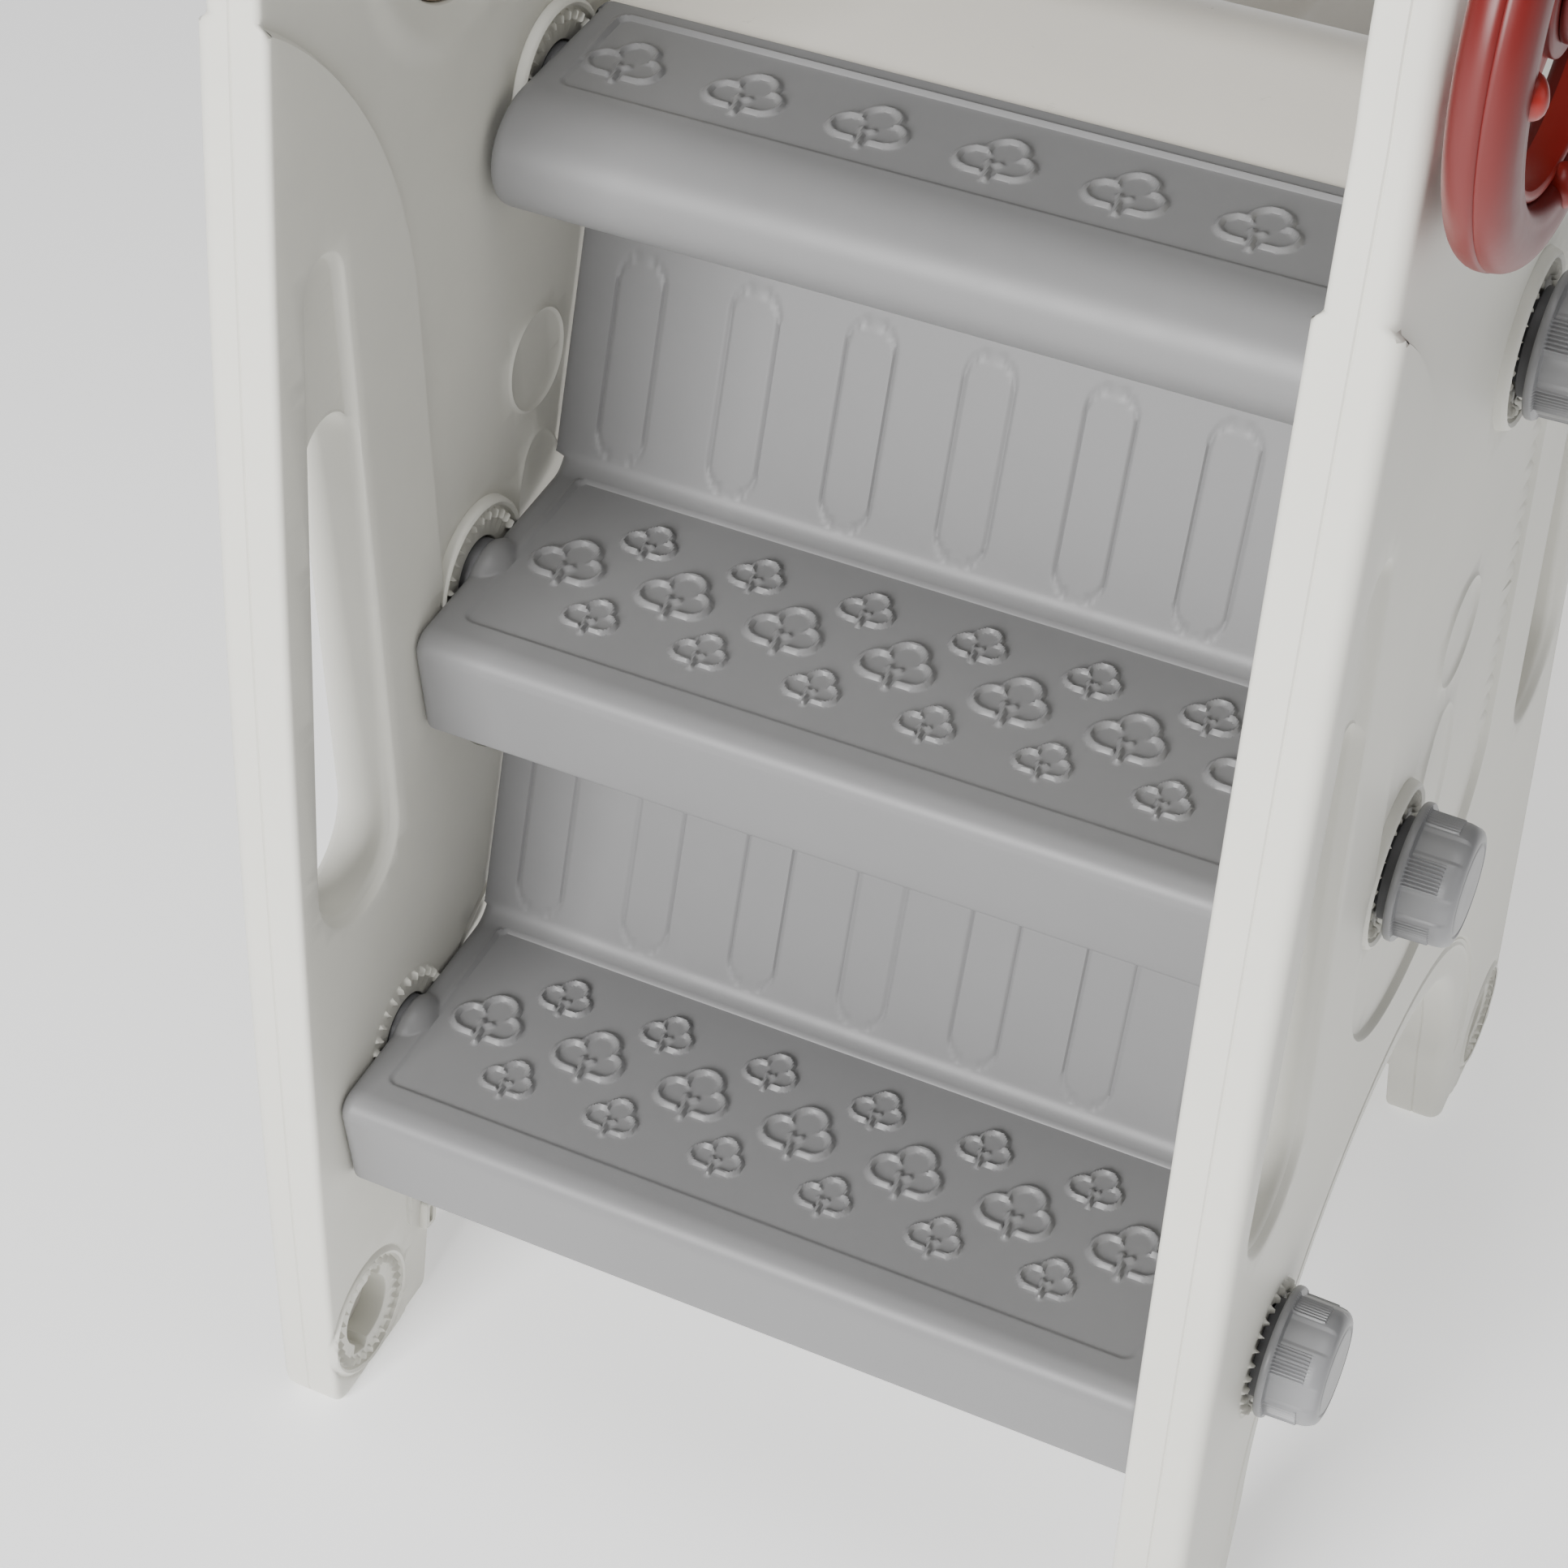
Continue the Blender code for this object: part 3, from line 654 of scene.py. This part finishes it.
def cloud(across, along, size):
    """Height of one cloud mark: the outline of three merged circles, open below for a forked stem."""
    across = across / size
    along = along / size
    merged = segment(across, along, (-0.35, -0.12), (0.48, -0.12)) - 0.39
    for centre, radius in lobes:
        merged = np.minimum(merged, np.hypot(across - centre[0], along - centre[1]) - radius)
    outline = cord(merged, 0.084)
    outline *= smooth_step(0.13, 0.19, segment(across, along, (0.05, -0.35), (0.06, -0.85)))
    fork = (-0.04, -0.25)
    lines = (((0.06, -0.73), 1.0), ((-0.10, -0.07), 0.9), ((0.14, -0.08), 0.8))
    for end, share in lines:
        outline = np.maximum(outline, share * cord(segment(across, along, fork, end), 0.080))
    return outline


def step_relief(across, back, top_step):
    """Height of the moulded marks on a tread, at a distance back from its front line."""
    high = np.zeros_like(across)
    if top_step:
        for number in range(7):
            centre = -0.1382 + 0.0470 * number
            near = (np.abs(across - centre) < 0.022) & (np.abs(back - 0.0212) < 0.018)
            if near.any():
                high[near] += 0.0015 * cloud(across[near] - centre, back[near] - 0.0212, 0.0160)
        deep = 0.0482
    else:
        for number in range(-3, 4):
            centre = number * 0.0446
            near = (np.abs(across - centre) < 0.022) & (np.abs(back - 0.0447) < 0.018)
            high[near] += 0.0019 * cloud(across[near] - centre, back[near] - 0.0447, 0.0160)
        for row in (0.0681, 0.0210):
            for number in range(6):
                centre = (number - 2.5) * 0.0447
                near = (np.abs(across - centre) < 0.016) & (np.abs(back - row) < 0.013)
                high[near] += 0.0017 * cloud(across[near] - centre, back[near] - row, 0.0117)
        deep = 0.0905
    wide = 0.1528
    corner = 0.0040
    side = np.abs(across) - (wide - corner)
    along = np.abs(back - deep / 2.0) - (deep / 2.0 - corner)
    frame_line = np.hypot(np.clip(side, 0.0, None), np.clip(along, 0.0, None)) - corner
    frame_line += np.clip(np.maximum(side, along), None, 0.0)
    high -= 0.0009 * smooth_step(0.0008, -0.0008, frame_line)
    rear = smooth_step(0.4, 0.9, back / deep)
    high += 0.0008 * ridge(frame_line - 0.0012, 0.0015) * rear
    return high


def step_profile(index, rows_fine):
    """Side profile from the apron's inner wall round the nose and tread to the riser's head.

    Arcs and straight runs follow one another; the riser leans back by a constant share of its height.
    Returns the (distance, height) path, its outward normals, the front line and the tread's height.
    """
    line = step_lines[index]
    top = step_tops[index]
    last = index == 2
    nose = 0.021 if last else 0.0085
    depth = top_depth if last else lower_depth
    front = line - (0.021 + 0.012 if last else 0.018)
    path = []
    if last:
        low = top - 0.0440
        for turn in sweep(300.0, 90.0, 34):
            path.append((line - 0.006 + 0.0225 * math.cos(turn) * 1.18,
                         top - 0.0225 + 0.0225 * math.sin(turn)))
        path = [(min(y, line) if z > top - 0.001 else y, z) for y, z in path]
    else:
        low = top - apron
        path.append((front + 0.0065, low + 0.010))
        for turn in sweep(0.0, -180.0, 9):
            path.append((front + 0.0048 + 0.0018 * math.cos(turn), low + 0.0018 + 0.0018 * math.sin(turn)))
        for share in np.linspace(0.15, 1.0, 9):
            path.append((front + 0.0030 - 0.0030 * share, low + 0.0018 + share * (apron - nose - 0.0018)))
        for turn in sweep(176.0, 92.0, 12):
            path.append((front + nose * (1.0 + math.cos(turn)) * 1.15, top - nose + nose * math.sin(turn)))
    start = path[-1][0]
    for y in np.linspace(start, line + depth - (0.0075 if not last else 0.0), rows_fine)[1:]:
        path.append((y, top))
    if last:
        path.append((line + depth, top - 0.0015))
        path.append((line + depth, top - 0.0060))
    else:
        turn_end = 360.0 - math.degrees(math.atan(lean))
        foot = line + depth - 0.0075
        for turn in sweep(270.0, turn_end, 12)[1:]:
            path.append((foot + 0.010 * math.cos(turn), top + 0.010 + 0.010 * math.sin(turn)))
        head = step_tops[index + 1] - apron - 0.0008
        low = path[-1][1]
        for height in np.linspace(low, head, 62)[1:]:
            path.append((path[-1][0] + lean * (height - path[-1][1]), height))
    path = np.array(path)
    return path, -normals(np.gradient(path, axis=0)), line, top


def step_skin(index, look):
    """Outer skin of a step: the side profile swept across, with relief along its normals."""
    path, normal, line, top = step_profile(index, 126 if index < 2 else 76)
    last = index == 2
    ends = np.linspace(0.0, 90.0, 6)
    bead = 0.0045
    near = step_end - bead + bead * np.sin(np.radians(ends))
    middle = np.linspace(-step_end + bead, step_end - bead, 400)
    across = np.concatenate([-near[::-1], middle[1:-1], near])
    tuck = np.concatenate([(bead * (1.0 - np.cos(np.radians(ends))))[::-1], np.zeros(398),
                           bead * (1.0 - np.cos(np.radians(ends)))])
    wide, back = np.meshgrid(across, path[:, 0] - line)
    high = np.repeat(path[:, 1:2], len(across), axis=1)
    flat = (high > top - 0.0005) & (high < top + 0.0002)
    relief = np.where(flat, step_relief(wide, back, last), 0.0)
    boss_centre = 0.0234 if last else 0.0350
    boss_radius = 0.0168
    boss_drop = 0.0116
    reach = 1.5 * np.clip(step_end - 0.0040 - np.abs(wide), 0.0, None)
    bump = np.sqrt(np.clip(boss_radius ** 2 - (back - boss_centre) ** 2 - reach ** 2, 0.0, None))
    bump -= boss_drop
    if not last:
        relief = np.where(flat & (bump > -0.0010), np.maximum(relief, bump), relief)
        up = high - top
        spine = np.clip(up, 0.017, 0.074)
        grooves = np.zeros_like(up)
        for number in range(-3, 4):
            stadium = np.abs(np.hypot(wide - number * 0.0469, up - spine) - 0.0097)
            grooves += ridge(stadium, 0.0010)
        relief -= np.where(up > 0.004, 0.0008 * grooves, 0.0)
    low_front = path[:, 1] < top - (0.030 if last else 0.0120)
    low_front &= path[:, 0] < line
    inward = np.where(low_front[:, None], (1.0, 0.0), -normal)
    riser = path[:, 1:2] > top + 0.004
    tuck = tuck * np.where(riser, 0.15, 1.0)
    reach_out = (sunk - 0.0005) * smooth_step(0.0, -0.0030, field_edge(path))[:, None]
    near_end = smooth_step(0.150, step_end, np.abs(wide))
    wide = wide + np.sign(wide) * np.where(riser, reach_out, 0.0) * near_end
    array = np.stack([wide, foot_front + path[:, 0:1] + relief * normal[:, 0:1] + tuck * inward[:, 0:1],
                      path[:, 1:2] + relief * normal[:, 1:2] + tuck * inward[:, 1:2]], axis=-1)
    shape = Shape()
    shape.grid(array)
    closed = path[:, 1] < top + 0.0002
    hub_y, hub_z = (line + 0.010, top - 0.024) if last else (line + 0.030, top - 0.020)
    for column in (0, -1):
        edge = array[closed, column]
        middle = np.broadcast_to((edge[0, 0], foot_front + hub_y, hub_z), edge.shape)
        plate = np.stack([edge, middle], axis=1)
        shape.grid(plate if column == -1 else plate[::-1])
    under = path - normal * 0.0032
    rows = np.unique(np.linspace(0, len(path) - 1, 40).astype(int))
    inner_edges = [np.stack([np.full(len(path), x), foot_front + under[:, 0], under[:, 1]], axis=1)
                   for x in (-step_end + 0.003, step_end - 0.003)]
    shape.grid(np.stack([edge[rows] for edge in inner_edges], axis=1)[::-1])
    for number, column in enumerate((0, -1)):
        pair = np.stack([array[:, column], inner_edges[number]], axis=1)
        shape.grid(pair if number == 1 else pair[::-1])
    for row in (0, len(path) - 1):
        strip = np.stack([array[row, ::8], array[row, ::8] * (0.98, 1.0, 1.0)
                          + (0.0, -0.0032 * normal[row, 0], -0.0032 * normal[row, 1])], axis=0)
        shape.grid(strip if row == 0 else strip[::-1])
    return shape.piece(f"step_{index + 1}_skin", look)


grey_plastic = moulded("grey_plastic", (0.205, 0.204, 0.206), 0.44)
for index in range(3):
    skin = step_skin(index, grey_plastic)
    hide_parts(f"step_{index + 1}")
    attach(skin, "frame")

# ---------------------------------------------------------------------------------------------
# Screw knobs: pale bluish-grey plastic caps with patches of fine grip ribs between smooth lobes,
# screwed on the threaded sleeves that come out of the steps through the panels.


def turned(name, centre, profile, count, look, radial=None, crease=38.0):
    """A solid of revolution about an axis along X, from (x, radius) pairs.

    Its points are (x, r cos t, r sin t); radial(t, x, r) can change r.
    """
    turn = np.linspace(0.0, 2.0 * math.pi, count, endpoint=False)
    rows = []
    for x, radius in profile:
        reach = np.full(count, radius)
        if radial is not None and radius > 0.0:
            reach = radial(turn, x, radius)
        rows.append(np.stack([np.full(count, x), foot_front + centre[0] + reach * np.cos(turn),
                              centre[1] + reach * np.sin(turn)], axis=1))
    shape = Shape()
    shape.grid(np.stack(rows), closed=True)
    return point_outwards(shape.piece(name, look, crease=crease))


knob_start = outer_face + 0.0040
knob_length = 0.0225


def knob_reach(side):
    """The radius of a knob's body, for turned()."""
    def reach(turn, x, radius):
        """Six smooth lobes, and between them patches of fine axial ribs near the flange."""
        along = (side * x - knob_start) / knob_length
        if along < 0.14 or along > 0.93:
            return np.full_like(turn, radius)
        phase = np.mod(turn / (2.0 * math.pi) * 6.0, 1.0)
        lobe = 0.0007 * smooth_step(0.50, 0.58, phase) * smooth_step(1.0, 0.92, phase)
        patch = smooth_step(0.02, 0.05, phase) * smooth_step(0.50, 0.47, phase)
        fine = 0.5 - 0.5 * np.cos(105.0 * turn)
        ribs = 0.0008 * patch * fine * (1.0 if along < 0.70 else 0.0)
        return radius - lobe * (1.0 if along < 0.85 else 0.4) + ribs
    return reach


knob_profile = [(0.0050, 0.0), (0.0050, 0.0140), (0.0004, 0.0148), (0.0, 0.0152), (0.0, 0.0242),
                (0.0004, 0.0247), (0.0010, 0.0249), (0.0024, 0.0249), (0.0030, 0.0246), (0.0033, 0.0238),
                (0.0035, 0.0231), (0.0038, 0.0228), (0.0060, 0.0228), (0.0100, 0.0227), (0.0140, 0.0226),
                (0.0155, 0.0226), (0.0158, 0.0226), (0.0175, 0.0225), (0.0190, 0.0222), (0.0203, 0.0215),
                (0.0213, 0.0206), (0.0220, 0.0195), (0.0224, 0.0182), (0.0224, 0.0176), (0.0219, 0.0170),
                (0.0219, 0.0165), (0.0224, 0.0159), (0.0225, 0.0150), (0.0225, 0.0080), (0.0225, 0.0)]
knob_plastic = moulded("knob_plastic", (0.245, 0.246, 0.253), 0.34, grain=0.00003)
# The sleeve stub is given a dark grey, well below the knobs' grey. This is painted shade for the narrow
# gap between the panel and the knob's flange where the stub shows, over the sleeve's own grey.
stub_plastic_painted_shade = moulded("stub_plastic_painted_shade", (0.115, 0.115, 0.12), 0.5)
knob_axes = socket_places[2:]
for side, word in ((-1, "left"), (1, "right")):
    for number, centre in enumerate(knob_axes):
        node = "deck" if number == 3 else f"step_{number + 1}"
        profile = [(side * (knob_start + x), radius) for x, radius in knob_profile]
        cap = turned(f"{node}_cap_{word}", centre, profile, 960, knob_plastic, knob_reach(side))
        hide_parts(f"{node}_knob_{word}")
        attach(cap, f"{node}_knob_{word}")
        tube = [(side * (step_end - 0.0030), 0.0), (side * (step_end - 0.0030), 0.0136),
                (side * (step_end - 0.0020), 0.0143), (side * outer_face, 0.0143),
                (side * outer_face, 0.0185),
                (side * (outer_face + 0.0037), 0.0185), (side * (outer_face + 0.0037), 0.0143),
                (side * (outer_face + 0.0175), 0.0136), (side * (outer_face + 0.0175), 0.0)]
        stub = turned(f"{node}_stub_{word}", centre, tube, 48, stub_plastic_painted_shade)
        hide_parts(f"{node}_sleeve_{word}")
        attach(stub, "frame")

# ---------------------------------------------------------------------------------------------
# Deck and chute: one cream moulding in glossier plastic, a flat deck that bends into a slope with
# a rail on both sides, run out flat above the floor and ending in a rounded lip.

chute_plastic = moulded("chute_plastic", (0.87, 0.83, 0.75), 0.30, grain=0.00002, tone=0.02)
chute_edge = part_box("slide_chute")[1].x
chute_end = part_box("slide_chute")[1].y - foot_front
chute_wall = 0.0035
chute_rail = 0.050
chute_slope = math.radians(33.0)


def chute_path():
    """Rows of (distance, height, slope, rail height): deck, bend, straight slope, run-out and lip."""
    deck = step_tops[2] - 0.0015
    rows = []
    for share in np.linspace(0.0, 1.0, 14):
        rows.append((step_lines[2] + top_depth + 0.0003 + share * 0.0664, deck, 0.0,
                     chute_rail * 0.35 * smooth_step(0.35, 1.0, share)))
    bend = 0.110
    bend_start = rows[-1][0]
    for share in np.linspace(0.0, 1.0, 22)[1:]:
        turn = chute_slope * share
        rows.append((bend_start + bend * math.sin(turn), deck - bend * (1.0 - math.cos(turn)), turn,
                     chute_rail * (0.35 + 0.65 * smooth_step(-0.4, 1.0, share))))
    run_out = 0.260
    low = 0.058
    slope_end = low + run_out * (1.0 - math.cos(chute_slope))
    top_y, top_z = rows[-1][:2]
    slope_run = (top_z - slope_end) / math.tan(chute_slope)
    for share in np.linspace(0.0, 1.0, 46)[1:]:
        rows.append((top_y + share * slope_run, top_z + share * (slope_end - top_z),
                     chute_slope, chute_rail))
    for share in np.linspace(0.0, 1.0, 26)[1:]:
        turn = chute_slope * (1.0 - share)
        rows.append((top_y + slope_run + run_out * (math.sin(chute_slope) - math.sin(turn)),
                     low + run_out * (1.0 - math.cos(turn)), turn, chute_rail * (1.0 - 0.55 * share)))
    lip_start = chute_end - 0.0352
    run_start = rows[-1][0]
    for share in np.linspace(0.0, 1.0, 8)[1:]:
        rows.append((run_start + share * (lip_start - run_start), low, 0.0,
                     chute_rail * (0.45 - 0.15 * share)))
    for share in np.linspace(0.0, 1.0, 16)[1:]:
        turn = math.radians(86.0) * share
        rows.append((lip_start + 0.034 * math.sin(turn), low - 0.034 * (1.0 - math.cos(turn)), turn,
                     chute_rail * 0.30 * (1.0 - share) ** 0.6))
    return rows


def chute_half(rail, drop):
    """Half of the channel's section from the middle of the bed over the rail to the skirt's lower edge."""
    inner = chute_edge - 0.022
    corners = np.array([(0.0, 0.0), (inner - 0.014, 0.0), (inner - 0.002, rail * 0.25),
                        (inner + 0.004, rail * 0.92), (inner + 0.010, rail), (chute_edge - 0.005, rail),
                        (chute_edge, rail * 0.90), (chute_edge, -drop)])
    bed = np.stack([np.linspace(0.0, inner - 0.030, 12), np.zeros(12)], axis=1)
    path = np.vstack([bed, corners[1:]])
    along = np.concatenate([[0.0], np.cumsum(np.linalg.norm(np.diff(path, axis=0), axis=1) + 1e-6)])
    start = along[11]
    want = np.concatenate([along[:11], np.linspace(start, along[-1], 56)])
    line = np.stack([np.interp(want, along, path[:, i]) for i in (0, 1)], axis=1)
    for _ in range(3):
        middle = (line[:-2] + 2.0 * line[1:-1] + line[2:]) / 4.0
        line[12:-1] = middle[11:]
    inside = line + chute_wall * normals(np.gradient(line, axis=0))
    inside[0] = (0.0, -chute_wall)
    return line, inside


def chute_skin(look):
    """The section swept along the path, closed by strips at both ends and along the skirts' edges."""
    rows = []
    under = []
    for y, z, turn, rail in chute_path():
        drop = 0.034 + (z - 0.0344) * smooth_step(0.150, 0.082, z)
        for half, place in zip(chute_half(rail, drop), (rows, under)):
            whole = np.vstack([half[::-1] * (-1.0, 1.0), half[1:]])
            level = np.maximum(whole[:, 1], -0.0035)
            below = np.minimum(whole[:, 1] + 0.0035, 0.0)
            place.append(np.stack([whole[:, 0], foot_front + y + level * math.sin(turn),
                                   np.maximum(z + level * math.cos(turn) + below, 0.0004)], axis=1))
    rows = np.stack(rows)
    under = np.stack(under)
    shape = Shape()
    shape.grid(rows)
    shape.grid(under[::-1])
    for edge in (0, -1):
        strip = np.stack([rows[:, edge], under[:, edge]])
        shape.grid(strip if edge == 0 else strip[::-1])
        strip = np.stack([rows[edge], under[edge]])
        shape.grid(strip[::-1] if edge == 0 else strip)
    return shape.piece("chute_skin", look)


chute = chute_skin(chute_plastic)
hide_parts("slide_chute")
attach(chute, "frame")
deck_boss = [(0.0, 0.0), (0.0, 0.0160), (0.0008, 0.0168), (0.0220, 0.0168), (0.0220, 0.0150),
             (0.0180, 0.0150), (0.0180, 0.0)]
for side, word in ((-1, "left"), (1, "right")):
    profile = [(side * (chute_edge - 0.0260 + x), radius) for x, radius in deck_boss]
    boss = turned(f"deck_boss_{word}", knob_axes[3], profile, 48, chute_plastic)
    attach(boss, "frame")

# ---------------------------------------------------------------------------------------------
# Steering wheel: moulded red plastic, a dark crowned rim round a lighter band with three spokes and
# domed studs. It turns on a bolt through the right panel, and a cap hides the bolt's head.

wheel_red = moulded("wheel_red", (0.130, 0.0055, 0.0042), 0.40, grain=0.00002, tone=0.06)
rim_radius = 0.0815
rim_back = outer_face + 0.0045
rim_front = rim_back + 0.0200


def arc(x, below, x_size, size, first, last, count):
    """Points of an elliptical arc in the rim's section, its centre given from the rim's radius down."""
    return [(x + x_size * math.cos(turn), rim_radius - below + size * math.sin(turn))
            for turn in sweep(first, last, count)]


def rim_profile():
    """Section of the rim: a crowned outside with a crease, a flat front face and a deep inner wall."""
    points = arc(rim_back + 0.0085, 0.0095, 0.0085, 0.0095, 180.0, 90.0, 10)
    for x, below in ((0.0104, 0.0001), (0.0109, 0.0007), (0.0114, 0.0004)):
        points.append((rim_back + x, rim_radius - below))
    points += arc(rim_front - 0.0085, 0.0100, 0.0085, 0.0095, 84.0, 20.0, 10)
    for x, below in ((0.0, 0.0105), (-0.0004, 0.0125)):
        points.append((rim_front + x, rim_radius - below))
    points += arc(rim_front - 0.0050, 0.0150, 0.0045, 0.0045, 10.0, -80.0, 8)
    points.append((rim_front - 0.0090, rim_radius - 0.0200))
    for x, below in ((0.0060, 0.0200), (0.0030, 0.0190), (0.0010, 0.0160)):
        points.append((rim_back + x, rim_radius - below))
    points.append(points[0])
    return points


def on_wheel(x, along, across, angle):
    """Points at a reach along a spoke's direction and a distance across it."""
    y = along * math.cos(angle) - across * math.sin(angle)
    z = along * math.sin(angle) + across * math.cos(angle)
    return np.stack([x, foot_front + wheel_place[0] + y, wheel_place[1] + z], axis=1)


def blade(angle):
    """One spoke from hub to rim: a superellipse swept outwards, with a shallow channel in its face."""
    reach = np.linspace(0.0160, rim_radius - 0.0180, 18)
    turn = np.linspace(0.0, 2.0 * math.pi, 40, endpoint=False)
    rows = []
    for along in reach:
        flare = smooth_step(0.040, rim_radius - 0.0180, along)
        wide = (0.0125 + 0.0045 * flare) * np.sign(np.cos(turn)) * np.abs(np.cos(turn)) ** 0.5
        thick = 0.0045 * np.sign(np.sin(turn)) * np.abs(np.sin(turn)) ** 0.6
        dip = 0.0012 * smooth_step(0.0085, 0.0055, np.abs(wide)) * (np.sin(turn) > 0.0)
        x = rim_back + 0.0065 + thick - dip
        rows.append(on_wheel(x, along, wide, angle))
    first, last = (np.repeat(end.mean(axis=0)[None, :], 40, axis=0) for end in (rows[0], rows[-1]))
    return np.stack([first] + rows + [last])


def stud(shape, angle):
    """A domed stud on the rim's inner shoulder: circles round an axis that leans towards the hub."""
    turn = np.linspace(0.0, 2.0 * math.pi, 28, endpoint=False)
    lean = math.radians(32.0)
    centre_r = rim_radius - 0.0170
    rows = []
    for reach, rise in ((0.0064, -0.0030), (0.0064, 0.0008), (0.0061, 0.0022), (0.0052, 0.0034),
                        (0.0037, 0.0043), (0.0019, 0.0048), (0.0, 0.0050)):
        out = reach * np.cos(turn)
        round_rim = reach * np.sin(turn)
        x = rim_front - 0.0022 + rise * math.cos(lean) + out * math.sin(lean)
        radial = centre_r + out * math.cos(lean) - rise * math.sin(lean)
        rows.append(on_wheel(x, radial, round_rim, angle))
    shape.grid(np.stack(rows), closed=True)


band_outer = rim_radius - 0.0203
band_profile = [(0.0060, -0.0030), (0.0060, -0.0006), (0.0064, 0.0), (0.0150, 0.0), (0.0156, -0.0006),
                (0.0158, -0.0016), (0.0156, -0.0026), (0.0150, -0.0032), (0.0085, -0.0034),
                (0.0060, -0.0030)]
dish_red = moulded("dish_red", (0.28, 0.016, 0.011), 0.36, grain=0.00002, tone=0.05)
band_profile = [(rim_back + x, band_outer + r) for x, r in band_profile]
band_ring = turned("wheel_band", wheel_place, band_profile, 144, dish_red)
rim = turned("wheel_rim", wheel_place, rim_profile(), 160, wheel_red, crease=50.0)
spokes = Shape()
for number in range(3):
    spokes.grid(blade(math.pi / 2.0 + 2.0 * math.pi * number / 3.0), closed=True)
for number in range(4):
    stud(spokes, math.pi / 2.0 * number)
spokes = spokes.piece("wheel_spokes", dish_red)
hub_start = outer_face + 0.0020
hub_profile = [(0.0, 0.0046), (0.0, 0.0215), (0.0006, 0.0222), (0.0140, 0.0236), (0.0147, 0.0232),
               (0.0150, 0.0225), (0.0150, 0.0104), (0.0148, 0.0100), (0.0090, 0.0100), (0.0090, 0.0046),
               (0.0, 0.0046)]
hub = turned("wheel_hub", wheel_place, [(hub_start + x, r) for x, r in hub_profile], 72, wheel_red)
for piece, node in ((rim, "wheel_rim"), (band_ring, "wheel_spider"), (spokes, "wheel_spider"),
                    (hub, "wheel_spider")):
    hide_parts(node)
    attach(piece, "wheel")
cap_low, cap_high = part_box("wheel_hub_cap")
cap_start = cap_low.x
cap_rise = cap_high.x - cap_low.x
cap_profile = [(0.0, 0.0), (0.0, 0.0188), (0.0005, 0.0190)]
for turn in sweep(0.0, 90.0, 14):
    cap_profile.append((0.0010 + (cap_rise - 0.0010) * math.sin(turn), 0.0190 * math.cos(turn)))
cap_profile[-1] = (cap_rise, 0.0)
hub_cap = turned("hub_cap", wheel_place, [(cap_start + x, r) for x, r in cap_profile], 72, wheel_red)
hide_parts("wheel_hub_cap")
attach(hub_cap, "wheel")

# ---------------------------------------------------------------------------------------------
# Port insert: a cup of tan moulded plastic that closes the round port in the left panel. It is a
# solid of revolution, pressed in from the inner face, with a small groove round its middle.

tan_plastic = moulded("tan_plastic", (0.36, 0.27, 0.19), 0.45)
port_start = -(inner_face + 0.0040)
port_end = -(outer_face - 0.0010)
port_profile = [(port_start, 0.0), (port_start, 0.0200), (port_start - 0.0008, 0.0215),
                (port_start, 0.0230), (port_start, 0.0400), (port_start - 0.0004, 0.0407),
                (port_start - 0.0012, 0.0411),
                (port_end + 0.0006, 0.0411), (port_end, 0.0407), (port_end, 0.0379),
                (port_end + 0.0004, 0.0375),
                (port_start - 0.0040, 0.0371), (port_start - 0.0036, 0.0)]
cup = turned("port_cup", port_place, port_profile, 96, tan_plastic)
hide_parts("port_cap_left")
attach(cup, "frame")
